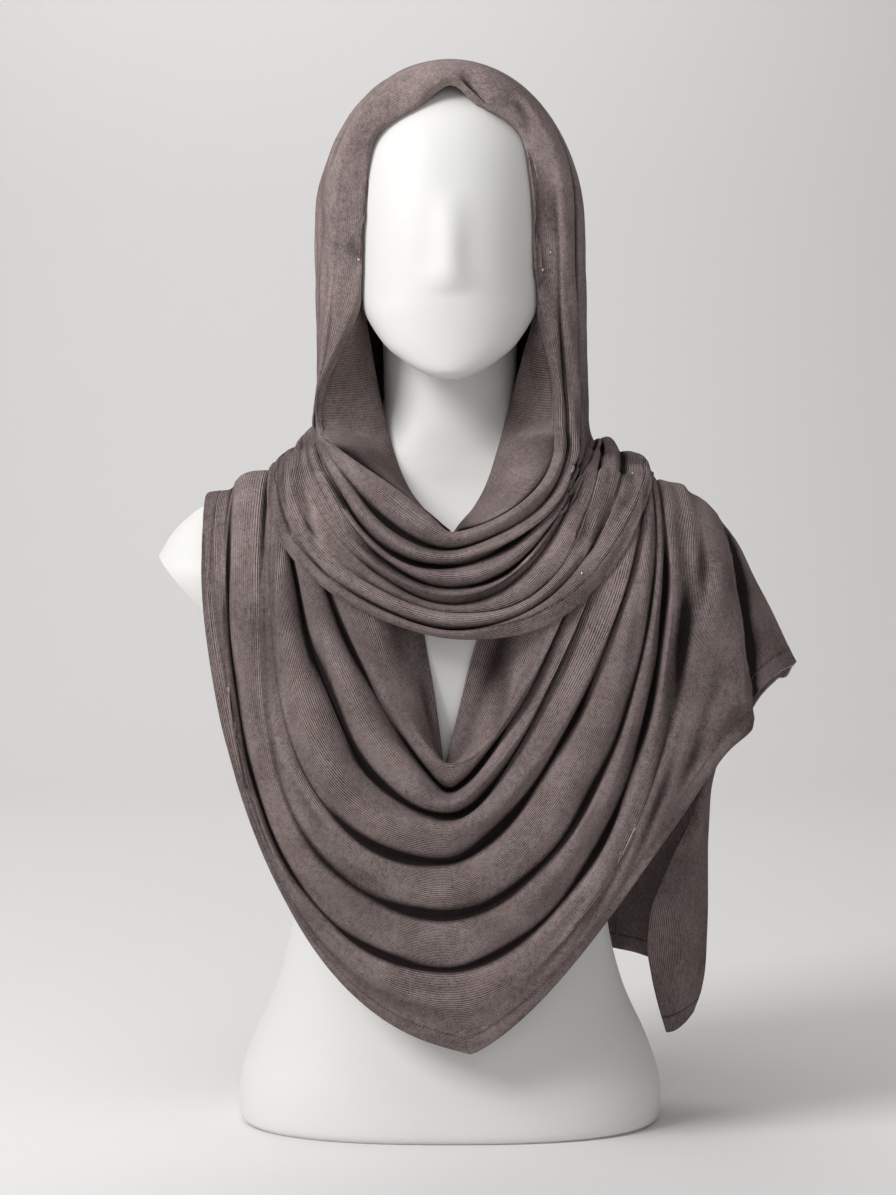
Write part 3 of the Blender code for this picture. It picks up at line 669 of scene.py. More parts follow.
def soften(lines, times, closed):
    """Lines of points or numbers smoothed along their way."""
    for _ in range(times):
        ends = (lines[:, -1:], lines[:, :1]) if closed else (lines[:, :1], lines[:, -1:])
        padded = np.concatenate([ends[0], lines, ends[1]], axis=1)
        lines = (padded[:, :-2] + 2 * lines + padded[:, 2:]) / 4
    return lines


def soften_across(lines, times):
    return soften(lines.swapaxes(0, 1), times, False).swapaxes(0, 1)


def blur(values, times, closed=False):
    """Each value averaged with its neighbours, both ways over the grid."""
    for _ in range(times):
        values = soften(soften_across(values, 1), 1, closed)
    return values


def unit(vectors):
    return vectors / np.maximum(np.linalg.norm(vectors, axis=-1, keepdims=True), 1e-9)


def grid_normals(grid, closed=False):
    """The direction straight out of the sheet at each point, away from the body's axis."""
    if closed:
        along = np.roll(grid, -1, axis=1) - np.roll(grid, 1, axis=1)
    else:
        along = np.gradient(grid, axis=1)
    normal = unit(np.cross(along, np.gradient(grid, axis=0)))
    outward = grid * (1, 1, 0)
    return normal if np.sum(normal * outward) > 0 else -normal


def rippled(grid, seed, height, along_mm, across_mm):
    """A closed sheet with soft uneven swells, longer along its folds than across them."""
    random = np.random.default_rng(seed)
    along = way_along(grid.swapaxes(0, 1)).T
    across = row_spacing(grid)
    total = np.zeros(grid.shape[:2])
    lengths = RIPPLE["shortest"], RIPPLE["longest"]
    for _ in range(RIPPLE["waves"]):
        one = 2 * math.pi * random.uniform(*lengths) / along_mm * random.choice([-1, 1])
        two = 2 * math.pi * random.uniform(*lengths) / across_mm
        total += np.cos(one * along + two * across[:, None] + random.uniform(0, 2 * math.pi))
    ends = np.minimum(np.arange(grid.shape[1]), np.arange(grid.shape[1])[::-1])
    total *= step_up(ends / RIPPLE["join"])
    crowded = np.linalg.norm(np.gradient(grid, axis=0), axis=2) / np.gradient(across)[:, None]
    total = total / math.sqrt(RIPPLE["waves"] / 2) * height * np.clip(crowded, 0, 1) ** 2
    return grid + grid_normals(grid, True) * total[:, :, None]


def row_spacing(grid):
    """How far along the cloth each row lies from the first, over the middle of the grid."""
    gap = np.linalg.norm(np.diff(grid, axis=0), axis=2)
    middle = np.sort(gap, axis=1)[:, gap.shape[1] // 3 :]
    return np.concatenate([[0], np.cumsum(middle.mean(axis=1))])


def way_out(point):
    """The direction straight out of the body: from the head's middle or from in the shoulders."""
    x, y, z = point
    if z > NECK_HEIGHT:
        return Vector((x, y, max(0.0, z - HEAD_MIDDLE))).normalized()
    past_shoulder = math.copysign(max(0.0, abs(x) - SHOULDER_END), x)
    height = float(np.interp(x, *zip(*SHOULDER_LINE)))
    return Vector((past_shoulder, y, max(0.0, z - height + SHOULDER_ROUND))).normalized()


def clear_of(grid, beneath, rounds=2):
    """A closed sheet's points, moved out wherever it would lie in what it covers."""
    trees = [tree_of(obj) for obj in beneath]
    reach = CLEARING["reach"]
    for _ in range(rounds):
        lifts = np.zeros(grid.shape[:2])
        outs = np.zeros(grid.shape)
        for row in range(grid.shape[0]):
            for column in range(grid.shape[1]):
                out = way_out(grid[row, column])
                outs[row, column] = out
                place = Vector(grid[row, column]) * MM
                for tree in trees:
                    hit, normal = tree.ray_cast(place + out * reach, -out, 2 * reach)[:2]
                    if hit is not None:
                        slant = max(CLEARING["least_slant"], abs(normal.dot(out)))
                        lift = (hit - place).dot(out) / MM + (CLOTH + CLEARING["gap"]) / slant
                        lifts[row, column] = max(lifts[row, column], lift)
        lifts = np.maximum(lifts * CLEARING["share"], blur(lifts, 3, True))
        grid = grid + blur(lifts, 1, True)[:, :, None] * outs
    return grid


# ---- meshes


def tree_of(obj):
    return BVHTree.FromObject(obj, bpy.context.evaluated_depsgraph_get())


def grid_faces(rows, columns, closed, ring=False):
    """Faces between a grid's points. Closed joins its last column to its first, ring its rows."""
    return [
        (
            row * columns + column,
            row * columns + (column + 1) % columns,
            (row + 1) % rows * columns + (column + 1) % columns,
            (row + 1) % rows * columns + column,
        )
        for row in range(rows if ring else rows - 1)
        for column in range(columns if closed else columns - 1)
    ]


def in_scene(name, data):
    obj = bpy.data.objects.new(name, data)
    bpy.context.scene.collection.objects.link(obj)
    return obj


def mesh_object(name, points, faces, material):
    mesh = bpy.data.meshes.new(name)
    mesh.from_pydata(np.asarray(points) * MM, [], faces)
    mesh.materials.append(material)
    mesh.shade_smooth()
    return in_scene(name, mesh)


def add_number(obj, name, values):
    layer = obj.data.attributes.new(name, "FLOAT", "POINT")
    layer.data.foreach_set("value", np.asarray(values, np.float32).reshape(-1))


def rib_numbers(grid, across_columns=False):
    """Where the knit's wales run: a place across the cloth, and how stretched that measure is."""
    turned = grid.swapaxes(0, 1) if across_columns else grid
    across = row_spacing(turned)
    gap = np.gradient(across)
    local = np.linalg.norm(np.gradient(turned, axis=0), axis=2) / gap[:, None]
    octave = np.log2(np.clip(blur(local, 6), *RIB_STRETCH))
    place = np.repeat(across[:, None], turned.shape[1], axis=1)
    if across_columns:
        place, octave = place.T, octave.T
    return place, octave


def painted_fold_shading(grid, closed):
    """How deep each point lies below the cloth around it: 1 in a trough, -1 on a ridge, fading
    behind. It sets the painted shade in troughs and painted highlight on ridges.
    """
    normals = grid_normals(grid, closed)
    total = 0
    for times, depth in PAINTED_SHADE_SCALES:
        around = soften_across(grid, times)
        below = np.sum((around - grid) * normals, axis=2)
        total = total + np.clip(below / depth, -1, 1) / len(PAINTED_SHADE_SCALES)
    behind = step_up((grid[:, :, 1] - BEHIND["from_y"]) / BEHIND["over"])
    return blur(total, 1, closed) * (1 - PAINTED_FOLD_SHADE["less_behind"] * behind)


def from_hem(grid, hem):
    """How far each point lies from the hem: the last row, the first row or the last column."""
    if hem == "first_row":
        return way_along(grid)
    if hem == "last_row":
        return way_along(grid[::-1])[::-1]
    return way_along(grid.swapaxes(0, 1)[::-1])[::-1].T


def cloth(name, grid, material, closed=False, ribs=None, hem="last_row"):
    """A sheet of jersey through a grid of points, thickened towards the body, edges rounded."""
    rows, columns = grid.shape[:2]
    inner = grid - grid_normals(grid, closed) * CLOTH
    edges = []
    for edge, beside in ((0, 1), (-1, -2)):
        off = unit(grid[edge] - grid[beside])
        edges.append((grid[edge] + inner[edge]) / 2 + off * CLOTH / 2)
    # One closed skin: the outer side, round the last row's edge, the inner side, round the first.
    ring = np.concatenate([grid, edges[1][None], inner[::-1], edges[0][None]])
    faces = grid_faces(len(ring), columns, closed, ring=True)
    if not closed:
        for column, turn in ((0, 1), (columns - 1, -1)):
            for row in range(rows - 1):
                other = 2 * rows - row
                side = (row, row + 1, other - 1, other)
                faces.append(tuple(place * columns + column for place in side)[::turn])
            for tip in ((rows - 1, rows, rows + 1), (0, 2 * rows, 2 * rows + 1)):
                faces.append(tuple(place * columns + column for place in tip)[::turn])
    obj = mesh_object(name, ring.reshape(-1, 3), faces, material)
    across, octave = rib_numbers(grid) if ribs is None else ribs
    over_head = step_up((grid[:, :, 2] - RIBS_FADE["from_z"]) / RIBS_FADE["over"])
    # These numbers include the painted fold shade: darker in the troughs, lighter on the ridges.
    for number, values in (
        ("across", across),
        ("octave", octave),
        ("painted_shade_of_folds", painted_fold_shading(grid, closed)),
        ("hem", from_hem(grid, hem)),
        ("ribbed", 1 - RIBS_FADE["share"] * over_head),
    ):
        add_number(obj, number, np.concatenate([values, values[-1:], values[::-1], values[:1]]))
    fix_normals(obj)
    return obj


def fix_normals(obj):
    work = bmesh.new()
    work.from_mesh(obj.data)
    bmesh.ops.recalc_face_normals(work, faces=work.faces)
    work.to_mesh(obj.data)
    work.free()


# ---- the bust


def ring_points(values):
    height, half_width, front, back, power = values
    turn = 2 * math.pi * np.arange(RING_SIDES) / RING_SIDES
    c, s = np.cos(turn), np.sin(turn)
    x = np.sign(c) * np.abs(c) ** (2 / power) * half_width
    y = np.sign(s) * np.abs(s) ** (2 / power) * (front + back) / 2 + (back - front) / 2
    return np.stack([x, y, np.full(RING_SIDES, height)], axis=1)


def spline_rows(rows, steps):
    """Rows on a spline through the table's rows, evenly spaced between them."""
    rows = np.asarray(rows, float)
    at = fine_places(len(rows), steps)
    low = np.minimum(at.astype(int), len(rows) - 2)
    share = (at - low)[:, None]
    padded = np.vstack([2 * rows[0] - rows[1], rows, 2 * rows[-1] - rows[-2]])
    before, start, end, after = (padded[low + step] for step in range(4))
    return curve(share, start, (end - before) / 2, end, (after - start) / 2)


def add_features(points):
    """The nose, raised on the front of the plain face."""
    x, y, z = points.T
    span = np.where(z > NOSE["height"], NOSE["above"], NOSE["below"])
    along = np.clip(1 - ((z - NOSE["height"]) / span) ** 2, 0, 1)
    low = step_up((NOSE["height"] + NOSE["widens_over"] / 2 - z) / NOSE["widens_over"])
    width = NOSE["half_width"] * (1.0 + NOSE["wider"] * low)
    raised = NOSE["reach"] * along * np.exp(-((x / width) ** 2))
    return points - np.stack([0 * x, np.where(y < NOSE["behind"], raised, 0), 0 * x], axis=1)


def ring_loft(name, rings, material):
    table = spline_rows(rings, RING_STEPS)
    points = np.vstack([ring_points(values) for values in table])
    points = add_features(points)
    faces = grid_faces(len(table), RING_SIDES, True)
    faces.append(tuple(reversed(range(RING_SIDES))))
    faces.append(tuple(range(len(points) - RING_SIDES, len(points))))
    return mesh_object(name, points, faces, material)


def cut_shoulders(body):
    for side in (-1, 1):
        bpy.ops.mesh.primitive_cube_add(size=1.0)
        block = bpy.context.object
        block.scale = [length * MM for length in SHOULDER_CUT_BLOCK]
        block.rotation_euler = (0, side * SHOULDER_CUT_SLOPE, 0)
        across, down = math.cos(SHOULDER_CUT_SLOPE), math.sin(SHOULDER_CUT_SLOPE)
        half = SHOULDER_CUT_BLOCK[2] / 2
        corner_x, corner_z = SHOULDER_CUT_TOP
        x = corner_x + down * half - across * SHOULDER_CUT_INSET
        z = corner_z - across * half - down * SHOULDER_CUT_INSET
        block.location = (side * x * MM, 0, z * MM)
        step = body.modifiers.new("Cut", "BOOLEAN")
        step.operation = "DIFFERENCE"
        step.object = block
        bpy.context.view_layer.objects.active = body
        bpy.ops.object.modifier_apply(modifier=step.name)
        bpy.data.objects.remove(block, do_unlink=True)
    body.data.shade_smooth()
    body.data.set_sharp_from_angle(angle=SHARP_ANGLE)


def join(objects, name):
    bpy.ops.object.select_all(action="DESELECT")
    for obj in objects:
        obj.select_set(True)
    bpy.context.view_layer.objects.active = objects[0]
    bpy.ops.object.join()
    objects[0].name = name
    return objects[0]


def build_bust(material):
    body = ring_loft("bust_body", BODY_RINGS, material)
    head = ring_loft("bust_head", HEAD_RINGS, material)
    cut_shoulders(body)
    return join([body, head], "smooth_bust")


# ---- the shawl


def shawl_side(changes, relief, stations, facing, reach):
    """The folds on one side of the body, as points."""
    names = list(FRONT_FOLDS)
    lines = []
    for name in names:
        fold = dict(zip(FOLD_COLUMNS, FRONT_FOLDS[name]))
        fold.update(zip(BACK_COLUMNS, changes.get(name, ())))
        lean = EDGE_LEAN if facing < 0 and name in LEANING_FOLDS else 0.0
        lines.append(whole_fold(fold, dict(zip(RELIEF_COLUMNS, relief[name])), stations, lean))
    lines = soften(np.array(lines), SHAWL_SOFTENING, False)
    at, grid, out = between_folds(lines, names, SHAWL_STEPS)
    x, z = grid[:, :, 0], grid[:, :, 1]
    near_hem = step_up((at - (len(names) - 1 - HEM_FOLDS)) / HEM_FOLDS)[:, None]
    z = z + near_hem * (flare_hem(x, z) + hem_point(x) if facing < 0 else tip_lift(x, z))
    points = stand_out(x, z, out, facing, reach)
    points[:, :, 1] += facing * SHOULDER_GAP
    return points


def hem_point(x):
    """The hem in front comes to a soft point."""
    return -HEM_POINT["drop"] * np.exp(-np.abs(x - HEM_POINT["x"]) / HEM_POINT["half_width"])


def flare_hem(x, z):
    """The hem dips to a corner where the flare folds back, and climbs behind it."""
    past = (x - flare_line(z)) / FLARE["turn"]
    width = np.where(past < 0, FLARE["corner_before"], FLARE["corner_after"])
    to_corner = np.exp(-((past / width) ** 2))
    climb = step_up(past / FLARE["climb_over"]) * step_up((FLARE["end_x"] - x) / FLARE["end_over"])
    return FLARE["rise"] * climb - FLARE["dip"] * to_corner


def tip_lift(x, z):
    near = np.exp(-(((x - TIP["x"]) / TIP["half_width"]) ** 2))
    below = shoulder_height(x) - z - TIP["from_below"]
    return TIP["lift"] * near * step_up(below / TIP["over"])


def shawl_grid():
    """The whole shawl as closed loops: over the chest, round the right arm, behind and on round."""
    front = shawl_side({}, FRONT_RELIEF, CHEST_STATIONS, -1, FRONT_REACH)
    back = shawl_side(BACK_FOLDS, BACK_RELIEF, BACK_STATIONS, 1, BACK_REACH)[:, ::-1]
    share = np.linspace(0, 1, BRIDGE_COLUMNS + 2)[1:-1, None]
    right = front[:, -1:] * (1 - share) + back[:, :1] * share
    left = back[:, -1:] * (1 - share) + front[:, :1] * share
    return np.concatenate([front, right, back, left], axis=1)


# ---- the cowl


def arch_half(row, side):
    """Half an arch of the hood, from its foot to its top."""
    rise = np.sin(np.linspace(0, math.pi / 2, ARCH_POINTS))
    bend = np.clip((rise - row["straight"]) / (1 - row["straight"]), 0, 1)
    taper = (row[side] - row[side + "_foot"]) * (1 - rise) ** 3
    x = SIGN[side] * (row[side] - taper) * np.sqrt(1 - bend**2)
    y = row["foot_y"] + (row["top_y"] - row["foot_y"]) * rise
    z = row["foot_z"] + (row["top_z"] - row["foot_z"]) * rise
    fold = row[side + "_fold"] * np.clip(1 - rise / FOLD_FADE, 0, 1)
    return np.stack([x, y, z, fold], axis=1)


def opening_half(side, off):
    """Half the face opening from beside the neck to its peak, or the roll that far off its edge."""
    column = 1 if side == "left" else 2
    table = np.array(FACE_OPENING, float)[::-1]
    height = np.linspace(table[0, 0], table[-1, 0], ARCH_POINTS)
    x, y = (smooth(height, table[:, 0], table[:, place]) for place in (column, 3))
    along = np.gradient(np.stack([x, height], axis=1), axis=0)
    away = unit(np.stack([along[:, 1], -along[:, 0]], axis=1)) * SIGN[side]
    top = step_up((height - table[-1, 0] + PEAK_RUN) / PEAK_RUN)[:, None]
    away = away * (1 - top) + np.array([[0.0, 1.0]]) * top
    x, height = x + off * away[:, 0], height + off * away[:, 1]
    return np.stack([x, y - off, height, 0 * x], axis=1)


def wrap_half(fold, relief, side):
    """Half a fold of the wrap from its end to its lowest point, and how far it stands out."""
    x, z = hang_half(fold, side).T
    near = np.abs(np.cos(np.linspace(0, math.pi / 2, len(x))))
    depth = np.hypot(form_depth(x, z, FRONT_REACH), fold[side + "_out"] * near)
    y = -(depth + fold["low_out"] * (1 - near**2))
    along = way_along(np.stack([x, y, z], axis=1))
    values = relief_along(relief, side, WRAP_RELIEF_POINTS)
    out = np.interp(along / along[-1], np.linspace(0, 1, WRAP_RELIEF_POINTS), values)
    return np.stack([x, y, z, out], axis=1)


def loop_side(upper, lower):
    """One side of a loop from its top to its lowest point, joined beside the neck."""
    upper = upper[::-1]
    pull = min(np.linalg.norm(lower[0] - upper[-1]), BRIDGE_PULL)
    leaving, arriving = unit(upper[-1] - upper[-6]) * pull, unit(lower[6] - lower[0]) * pull
    t = np.linspace(0, 1, BRIDGE_POINTS)[:, None]
    gap = curve(t, upper[-1], leaving, lower[0], arriving)
    middle = len(gap) // 2
    above = even(np.vstack([upper, gap[1 : middle + 1]]), ARCH_STATIONS)
    below = even(np.vstack([gap[middle:-1], lower]), WRAP_STATIONS)
    return np.vstack([above, below[1:]])


def cowl_grid():
    rows = []
    for name, values in WRAP_FOLDS.items():
        wrap = dict(zip(WRAP_COLUMNS, values))
        relief = dict(zip(RELIEF_COLUMNS, WRAP_RELIEF[name]))
        sides = []
        for side in SIGN:
            if name in HOOD_ARCHES:
                upper = arch_half(dict(zip(ARCH_COLUMNS, HOOD_ARCHES[name])), side)
            else:
                upper = opening_half(side, OPENING_ROLL if name == "belly" else 0.0)
            sides.append(loop_side(upper, wrap_half(wrap, relief, side)))
        rows.append(np.vstack([sides[0], sides[1][-2:0:-1]]))
    rows = np.array(rows)
    low = step_up((COWL_SOFTENING["from_z"] - rows[:, :, 2:3]) / COWL_SOFTENING["over"])
    rows = rows * (1 - low) + soften(rows, COWL_SOFTENING["times"], True) * low
    _, grid, relief = between_folds(rows, list(WRAP_FOLDS), COWL_STEPS)
    return blur(grid, 1, True), relief


def rolled(grid, radius, turn, rows):
    """The grid with its first row carried on round a small roll behind it."""
    normals = grid_normals(grid, True)[0]
    off = unit(grid[0] - grid[2])
    extra = []
    for angle in np.linspace(turn, turn / rows, rows):
        inward = radius * (1 - math.cos(angle)) * normals
        extra.append(grid[0] + radius * math.sin(angle) * off - inward)
    return np.concatenate([np.array(extra), grid])


# ---- inner faces and ends


def inner_grid(table, rim):
    """From behind the rolled edge of the opening back to the neck, level by level."""
    rows = np.array(table, float)[::-1]
    side = math.copysign(1, rows[-1, 1])
    half = rim[(rim[:, 0] * side > 0) & (rim[:, 2] < INNER["below_z"])]
    half = half[np.argsort(half[:, 2])]
    heights = np.linspace(rows[0, 0], rows[-1, 0], INNER["rows"])
    edge_x, edge_y = (np.interp(heights, half[:, 2], half[:, axis]) for axis in (0, 1))
    edge_y = edge_y + INNER["set_back"]
    neck_x, neck_y = (smooth(heights, rows[:, 0], rows[:, column]) for column in (1, 2))
    share = np.linspace(0, 1, INNER["columns"])[None, :]
    inward = np.minimum(share / INNER["tuck_from"], 1)
    x = edge_x[:, None] + (neck_x - edge_x)[:, None] * inward ** INNER["bend_x"]
    y = edge_y[:, None] + (neck_y - edge_y)[:, None] * inward ** INNER["bend_y"]
    tuck = step_up((share - INNER["tuck_from"]) / (1 - INNER["tuck_from"]))
    x, y = x - side * INNER["tuck_in"] * tuck, y + INNER["tuck_back"] * tuck
    return np.stack([x, y, np.repeat(heights[:, None], INNER["columns"], axis=1)], axis=2)


def fall_grid():
    rows = []
    names = list(FALL_FOLDS)
    for values in FALL_FOLDS.values():
        fold = dict(zip(FALL_COLUMNS, values))
        top_z = float(shoulder_height(fold["top_x"])) - FALL["below_shoulder"]
        knots = [
            [fold["top_x"], top_z, fold["top_out"]],
            [fold["mid_x"], fold["mid_z"], fold["mid_out"]],
            [fold["low_x"], fold["low_z"], fold["low_out"]],
        ]
        rows.append(smooth(np.linspace(0, 2, FALL["rows"]), range(3), knots))
    rows = np.array(rows)
    at = fine_places(len(names), FALL["steps"])
    x, z, out = (smooth(at, np.arange(len(names)), rows[:, :, axis]) for axis in range(3))
    return stand_out(x, z, out, 1, BACK_REACH)


def tail_grid():
    table = np.array(TAIL_SECTIONS, float)[::-1]
    heights = np.linspace(table[0, 0], table[-1, 0], TAIL["rows"])
    left, right, left_y, right_y = (smooth(heights, table[:, 0], table[:, c]) for c in range(1, 5))
    share = np.linspace(0, 1, TAIL["columns"])[None, :]
    x = left[:, None] + (right - left)[:, None] * share
    bow = TAIL["bow"] * np.sin(math.pi * share)
    y = left_y[:, None] + (right_y - left_y)[:, None] * share - bow
    near_hem = np.clip(1 - (heights[:, None] - table[0, 0]) / TAIL["hem_run"], 0, 1)
    slant = TAIL["hem_rise"] * (share ** TAIL["hem_bend"] - TAIL["hem_level"])
    z = heights[:, None] + near_hem * slant
    return np.stack([x, y, z], axis=2)


# ---- materials


class Sum:
    """A shader value that can be added, multiplied and so on."""

    def __init__(self, sheet, socket):
        self.sheet, self.socket = sheet, socket

    def _math(self, operation, *values):
        node = self.sheet.node("ShaderNodeMath", {"operation": operation})
        for socket, value in zip(node.inputs, values):
            self.sheet.put(socket, value)
        return Sum(self.sheet, node.outputs[0])

    def __add__(self, other):
        return self._math("ADD", self, other)

    def __sub__(self, other):
        return self._math("SUBTRACT", self, other)

    def __mul__(self, other):
        return self._math("MULTIPLY", self, other)

    __radd__, __rmul__ = __add__, __mul__

    def __rsub__(self, other):
        return (self * -1.0) + other

    def sine(self):
        return self._math("SINE", self)

    def size(self):
        return self._math("ABSOLUTE", self)

    def floor(self):
        return self._math("FLOOR", self)

    def two_to(self):
        return self._math("POWER", 2.0, self)

    def held(self, low, high):
        return self._math("MINIMUM", self._math("MAXIMUM", self, low), high)


class Sheet:
    """A material's node tree, with short ways to add to it."""

    def __init__(self, name):
        self.material = bpy.data.materials.new(name)
        self.material.use_nodes = True
        self.tree = self.material.node_tree
        self.shader = self.tree.nodes["Principled BSDF"]

    def put(self, socket, value):
        if isinstance(value, Sum):
            self.tree.links.new(value.socket, socket)
        elif isinstance(value, bpy.types.NodeSocket):
            self.tree.links.new(value, socket)
        else:
            socket.default_value = value

    def node(self, kind, settings=(), **inputs):
        node = self.tree.nodes.new(kind)
        for name, value in dict(settings).items():
            setattr(node, name, value)
        for name, value in inputs.items():
            self.put(node.inputs[name.replace("_", " ")], value)
        return node

    def number(self, name):
        node = self.node("ShaderNodeAttribute", {"attribute_name": name})
        return Sum(self, node.outputs["Fac"])

    def noise(self, name):
        settings = dict(zip(("Scale", "Detail", "Roughness"), NOISE[name]))
        place = self.node("ShaderNodeTexCoord").outputs["Object"]
        return Sum(self, self.node("ShaderNodeTexNoise", Vector=place, **settings).outputs[0])

    def mix(self, share, one, two):
        node = self.node("ShaderNodeMix", {"data_type": "RGBA"})
        self.put(node.inputs[0], share)
        self.put(node.inputs[6], one)
        self.put(node.inputs[7], two)
        return node.outputs[2]

    def finish(self, **inputs):
        for name, value in inputs.items():
            self.put(self.shader.inputs[name.replace("_", " ")], value)
        return self.material


def jersey_material():
    sheet = Sheet("jersey_knit")
    across, octave, painted_shade_of_folds, hem, ribbed = (
        sheet.number(name) for name in ("across", "octave", "painted_shade_of_folds", "hem", "ribbed")
    )
    level = octave.floor()
    part = ((octave - level) * 2.0 - 0.5).held(0.0, 1.0)
    phase = across * level.two_to() * (2 * math.pi / RIB)
    waver = (sheet.noise("waver") - 0.5) * WAVER
    coarse, fine = (phase + waver).sine(), (phase * 2.0 + waver).sine()
    rib = (coarse * (1.0 - part) + fine * part) * sheet.noise("rib") * 2.0 * ribbed
    fuzz, flecks, patchy = (sheet.noise(name) - 0.5 for name in ("fuzz", "flecks", "patchy"))
    # The hem's crease: a dent in the bump, and a line of painted shade in the colour.
    fold_line = (1.0 - (hem - HEM).size() * HEM_CREASE_SHARPNESS).held(0.0, 1.0)
    shade = SHADE["middle"] + rib * SHADE["rib"] + fuzz * SHADE["fuzz"] + flecks * SHADE["flecks"]
    shade = shade + patchy * SHADE["patchy"] - fold_line * SHADE["fold_line"]
    # Painted shade in the folds' troughs, and painted highlight on their ridges.
    painted_shade_and_highlight = (painted_shade_of_folds * PAINTED_FOLD_SHADE["weight"]).held(PAINTED_FOLD_SHADE["lightest"], PAINTED_FOLD_SHADE["darkest"])
    shade = (shade * (1.0 - painted_shade_and_highlight)).held(0.0, 1.0)
    colour = sheet.mix(shade, JERSEY_DARK, JERSEY_LIGHT)
    warm = ((sheet.noise("warm") - 0.5) * WARMTH["spread"] + WARMTH["middle"]).held(0.0, 1.0)
    colour = sheet.mix(warm, colour, sheet.mix(shade, JERSEY_DARK, JERSEY_WARM))
    height = rib * BUMP["rib"] + fuzz * BUMP["fuzz"] - fold_line
    bump = sheet.node("ShaderNodeBump", Height=height, Strength=0.8, Distance=BUMP["depth"])
    return sheet.finish(
        Base_Color=colour,
        Roughness=0.95,
        Normal=bump.outputs[0],
        Sheen_Weight=0.02,
        Sheen_Roughness=0.5,
        Sheen_Tint=(0.75, 0.68, 0.67, 1.0),
        Specular_IOR_Level=0.04,
    )


def bust_material():
    sheet = Sheet("white_bust")
    grain = sheet.noise("plaster")
    bump = sheet.node("ShaderNodeBump", Height=grain, Strength=0.04, Distance=0.0004)
    return sheet.finish(Base_Color=(0.785, 0.78, 0.76, 1.0), Roughness=0.5, Normal=bump.outputs[0])


def plain_material(name, colour, roughness, metallic=0.0):
    sheet = Sheet(name)
    return sheet.finish(Base_Color=(*colour, 1.0), Roughness=roughness, Metallic=metallic)


# ---- stitches and pins


def hem_path(grid):
    """The line of the hem stitches, just out of the cloth's outer side."""
    outside = grid + STITCH["out"] * grid_normals(grid, True)
    far = from_hem(grid, "last_row")
    row = np.argmin(np.abs(far - HEM), axis=0)
    columns = np.arange(grid.shape[1])
    other = np.where(far[row, columns] > HEM, row + 1, row - 1)
    other = np.clip(other, 0, len(grid) - 1)
    gap = np.abs(far[row, columns] - far[other, columns])
    share = np.clip(np.abs(far[row, columns] - HEM) / np.maximum(gap, 1e-6), 0, 1)[:, None]
    return outside[row, columns] * (1 - share) + outside[other, columns] * share


def stitch_nodes():
    """A node tree that sets a short stitch at even steps along a line."""
    tree = bpy.data.node_groups.new("stitches_along_a_line", "GeometryNodeTree")
    for name, way, kind in (
        ("Line", "INPUT", "Geometry"),
        ("Spacing", "INPUT", "Float"),
        ("Size", "INPUT", "Vector"),
        ("Thread", "INPUT", "Material"),
        ("Stitches", "OUTPUT", "Geometry"),
    ):
        tree.interface.new_socket(name, in_out=way, socket_type="NodeSocket" + kind)
    names = {
        "given": "NodeGroupInput",
        "line": "GeometryNodeMeshToCurve",
        "places": "GeometryNodeCurveToPoints",
        "stitch": "GeometryNodeMeshUVSphere",
        "copies": "GeometryNodeInstanceOnPoints",
        "real": "GeometryNodeRealizeInstances",
        "dyed": "GeometryNodeSetMaterial",
        "made": "NodeGroupOutput",
    }
    node = {name: tree.nodes.new(kind) for name, kind in names.items()}
    node["places"].mode = "LENGTH"
    node["stitch"].inputs["Segments"].default_value = 6
    node["stitch"].inputs["Rings"].default_value = 4
    node["stitch"].inputs["Radius"].default_value = 1.0
    for start, out, end, into in (
        ("given", "Line", "line", "Mesh"),
        ("line", "Curve", "places", "Curve"),
        ("given", "Spacing", "places", "Length"),
        ("places", "Points", "copies", "Points"),
        ("places", "Rotation", "copies", "Rotation"),
        ("stitch", "Mesh", "copies", "Instance"),
        ("given", "Size", "copies", "Scale"),
        ("copies", "Instances", "real", "Geometry"),
        ("real", "Geometry", "dyed", "Geometry"),
        ("given", "Thread", "dyed", "Material"),
        ("dyed", "Geometry", "made", "Stitches"),
    ):
        tree.links.new(node[start].outputs[out], node[end].inputs[into])
    return tree


def stitched(name, path, material):
    """A row of stitches round a closed line."""
    count = len(path)
    mesh = bpy.data.meshes.new(name + "_line")
    edges = [(place, (place + 1) % count) for place in range(count)]
    mesh.from_pydata(path * MM, edges, [])
    line = in_scene(name + "_line", mesh)
    step = line.modifiers.new("Stitches", "NODES")
    step.node_group = stitch_nodes()
    thick, long = STITCH["thickness"] * MM, STITCH["length"] * MM
    given = {"Spacing": STITCH["spacing"] * MM, "Size": (thick, thick, long), "Thread": material}
    for item in step.node_group.interface.items_tree:
        if item.name in given:
            step[item.identifier] = given[item.name]
    graph = bpy.context.evaluated_depsgraph_get()
    graph.update()
    made = bpy.data.meshes.new_from_object(line.evaluated_get(graph))
    bpy.data.objects.remove(line, do_unlink=True)
    made.shade_smooth()
    return in_scene(name, made)


def pin_head(name, across, up, on, material):
    """A pin's round head, half sunk in the cloth's front."""
    start = Vector((across * MM, -IN_FRONT, up * MM))
    place, normal = tree_of(on).ray_cast(start, Vector((0, 1, 0)))[:2]
    mesh = bpy.data.meshes.new(name)
    work = bmesh.new()
    bmesh.ops.create_uvsphere(work, radius=PIN_HEAD * MM, **PIN_SIDES)
    work.to_mesh(mesh)
    work.free()
    mesh.transform(Matrix.Translation(place + normal * PIN_OUT * MM))
    mesh.materials.append(material)
    mesh.shade_smooth()
    return in_scene(name, mesh)


# ---- building it all

jersey = jersey_material()
white = bust_material()
thread = plain_material("thread", THREAD, 0.9)
steel = plain_material("pin_metal", (0.55, 0.54, 0.53), 0.3, 1.0)

bust = build_bust(white)
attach(bust, "root")
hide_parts("bust_form")

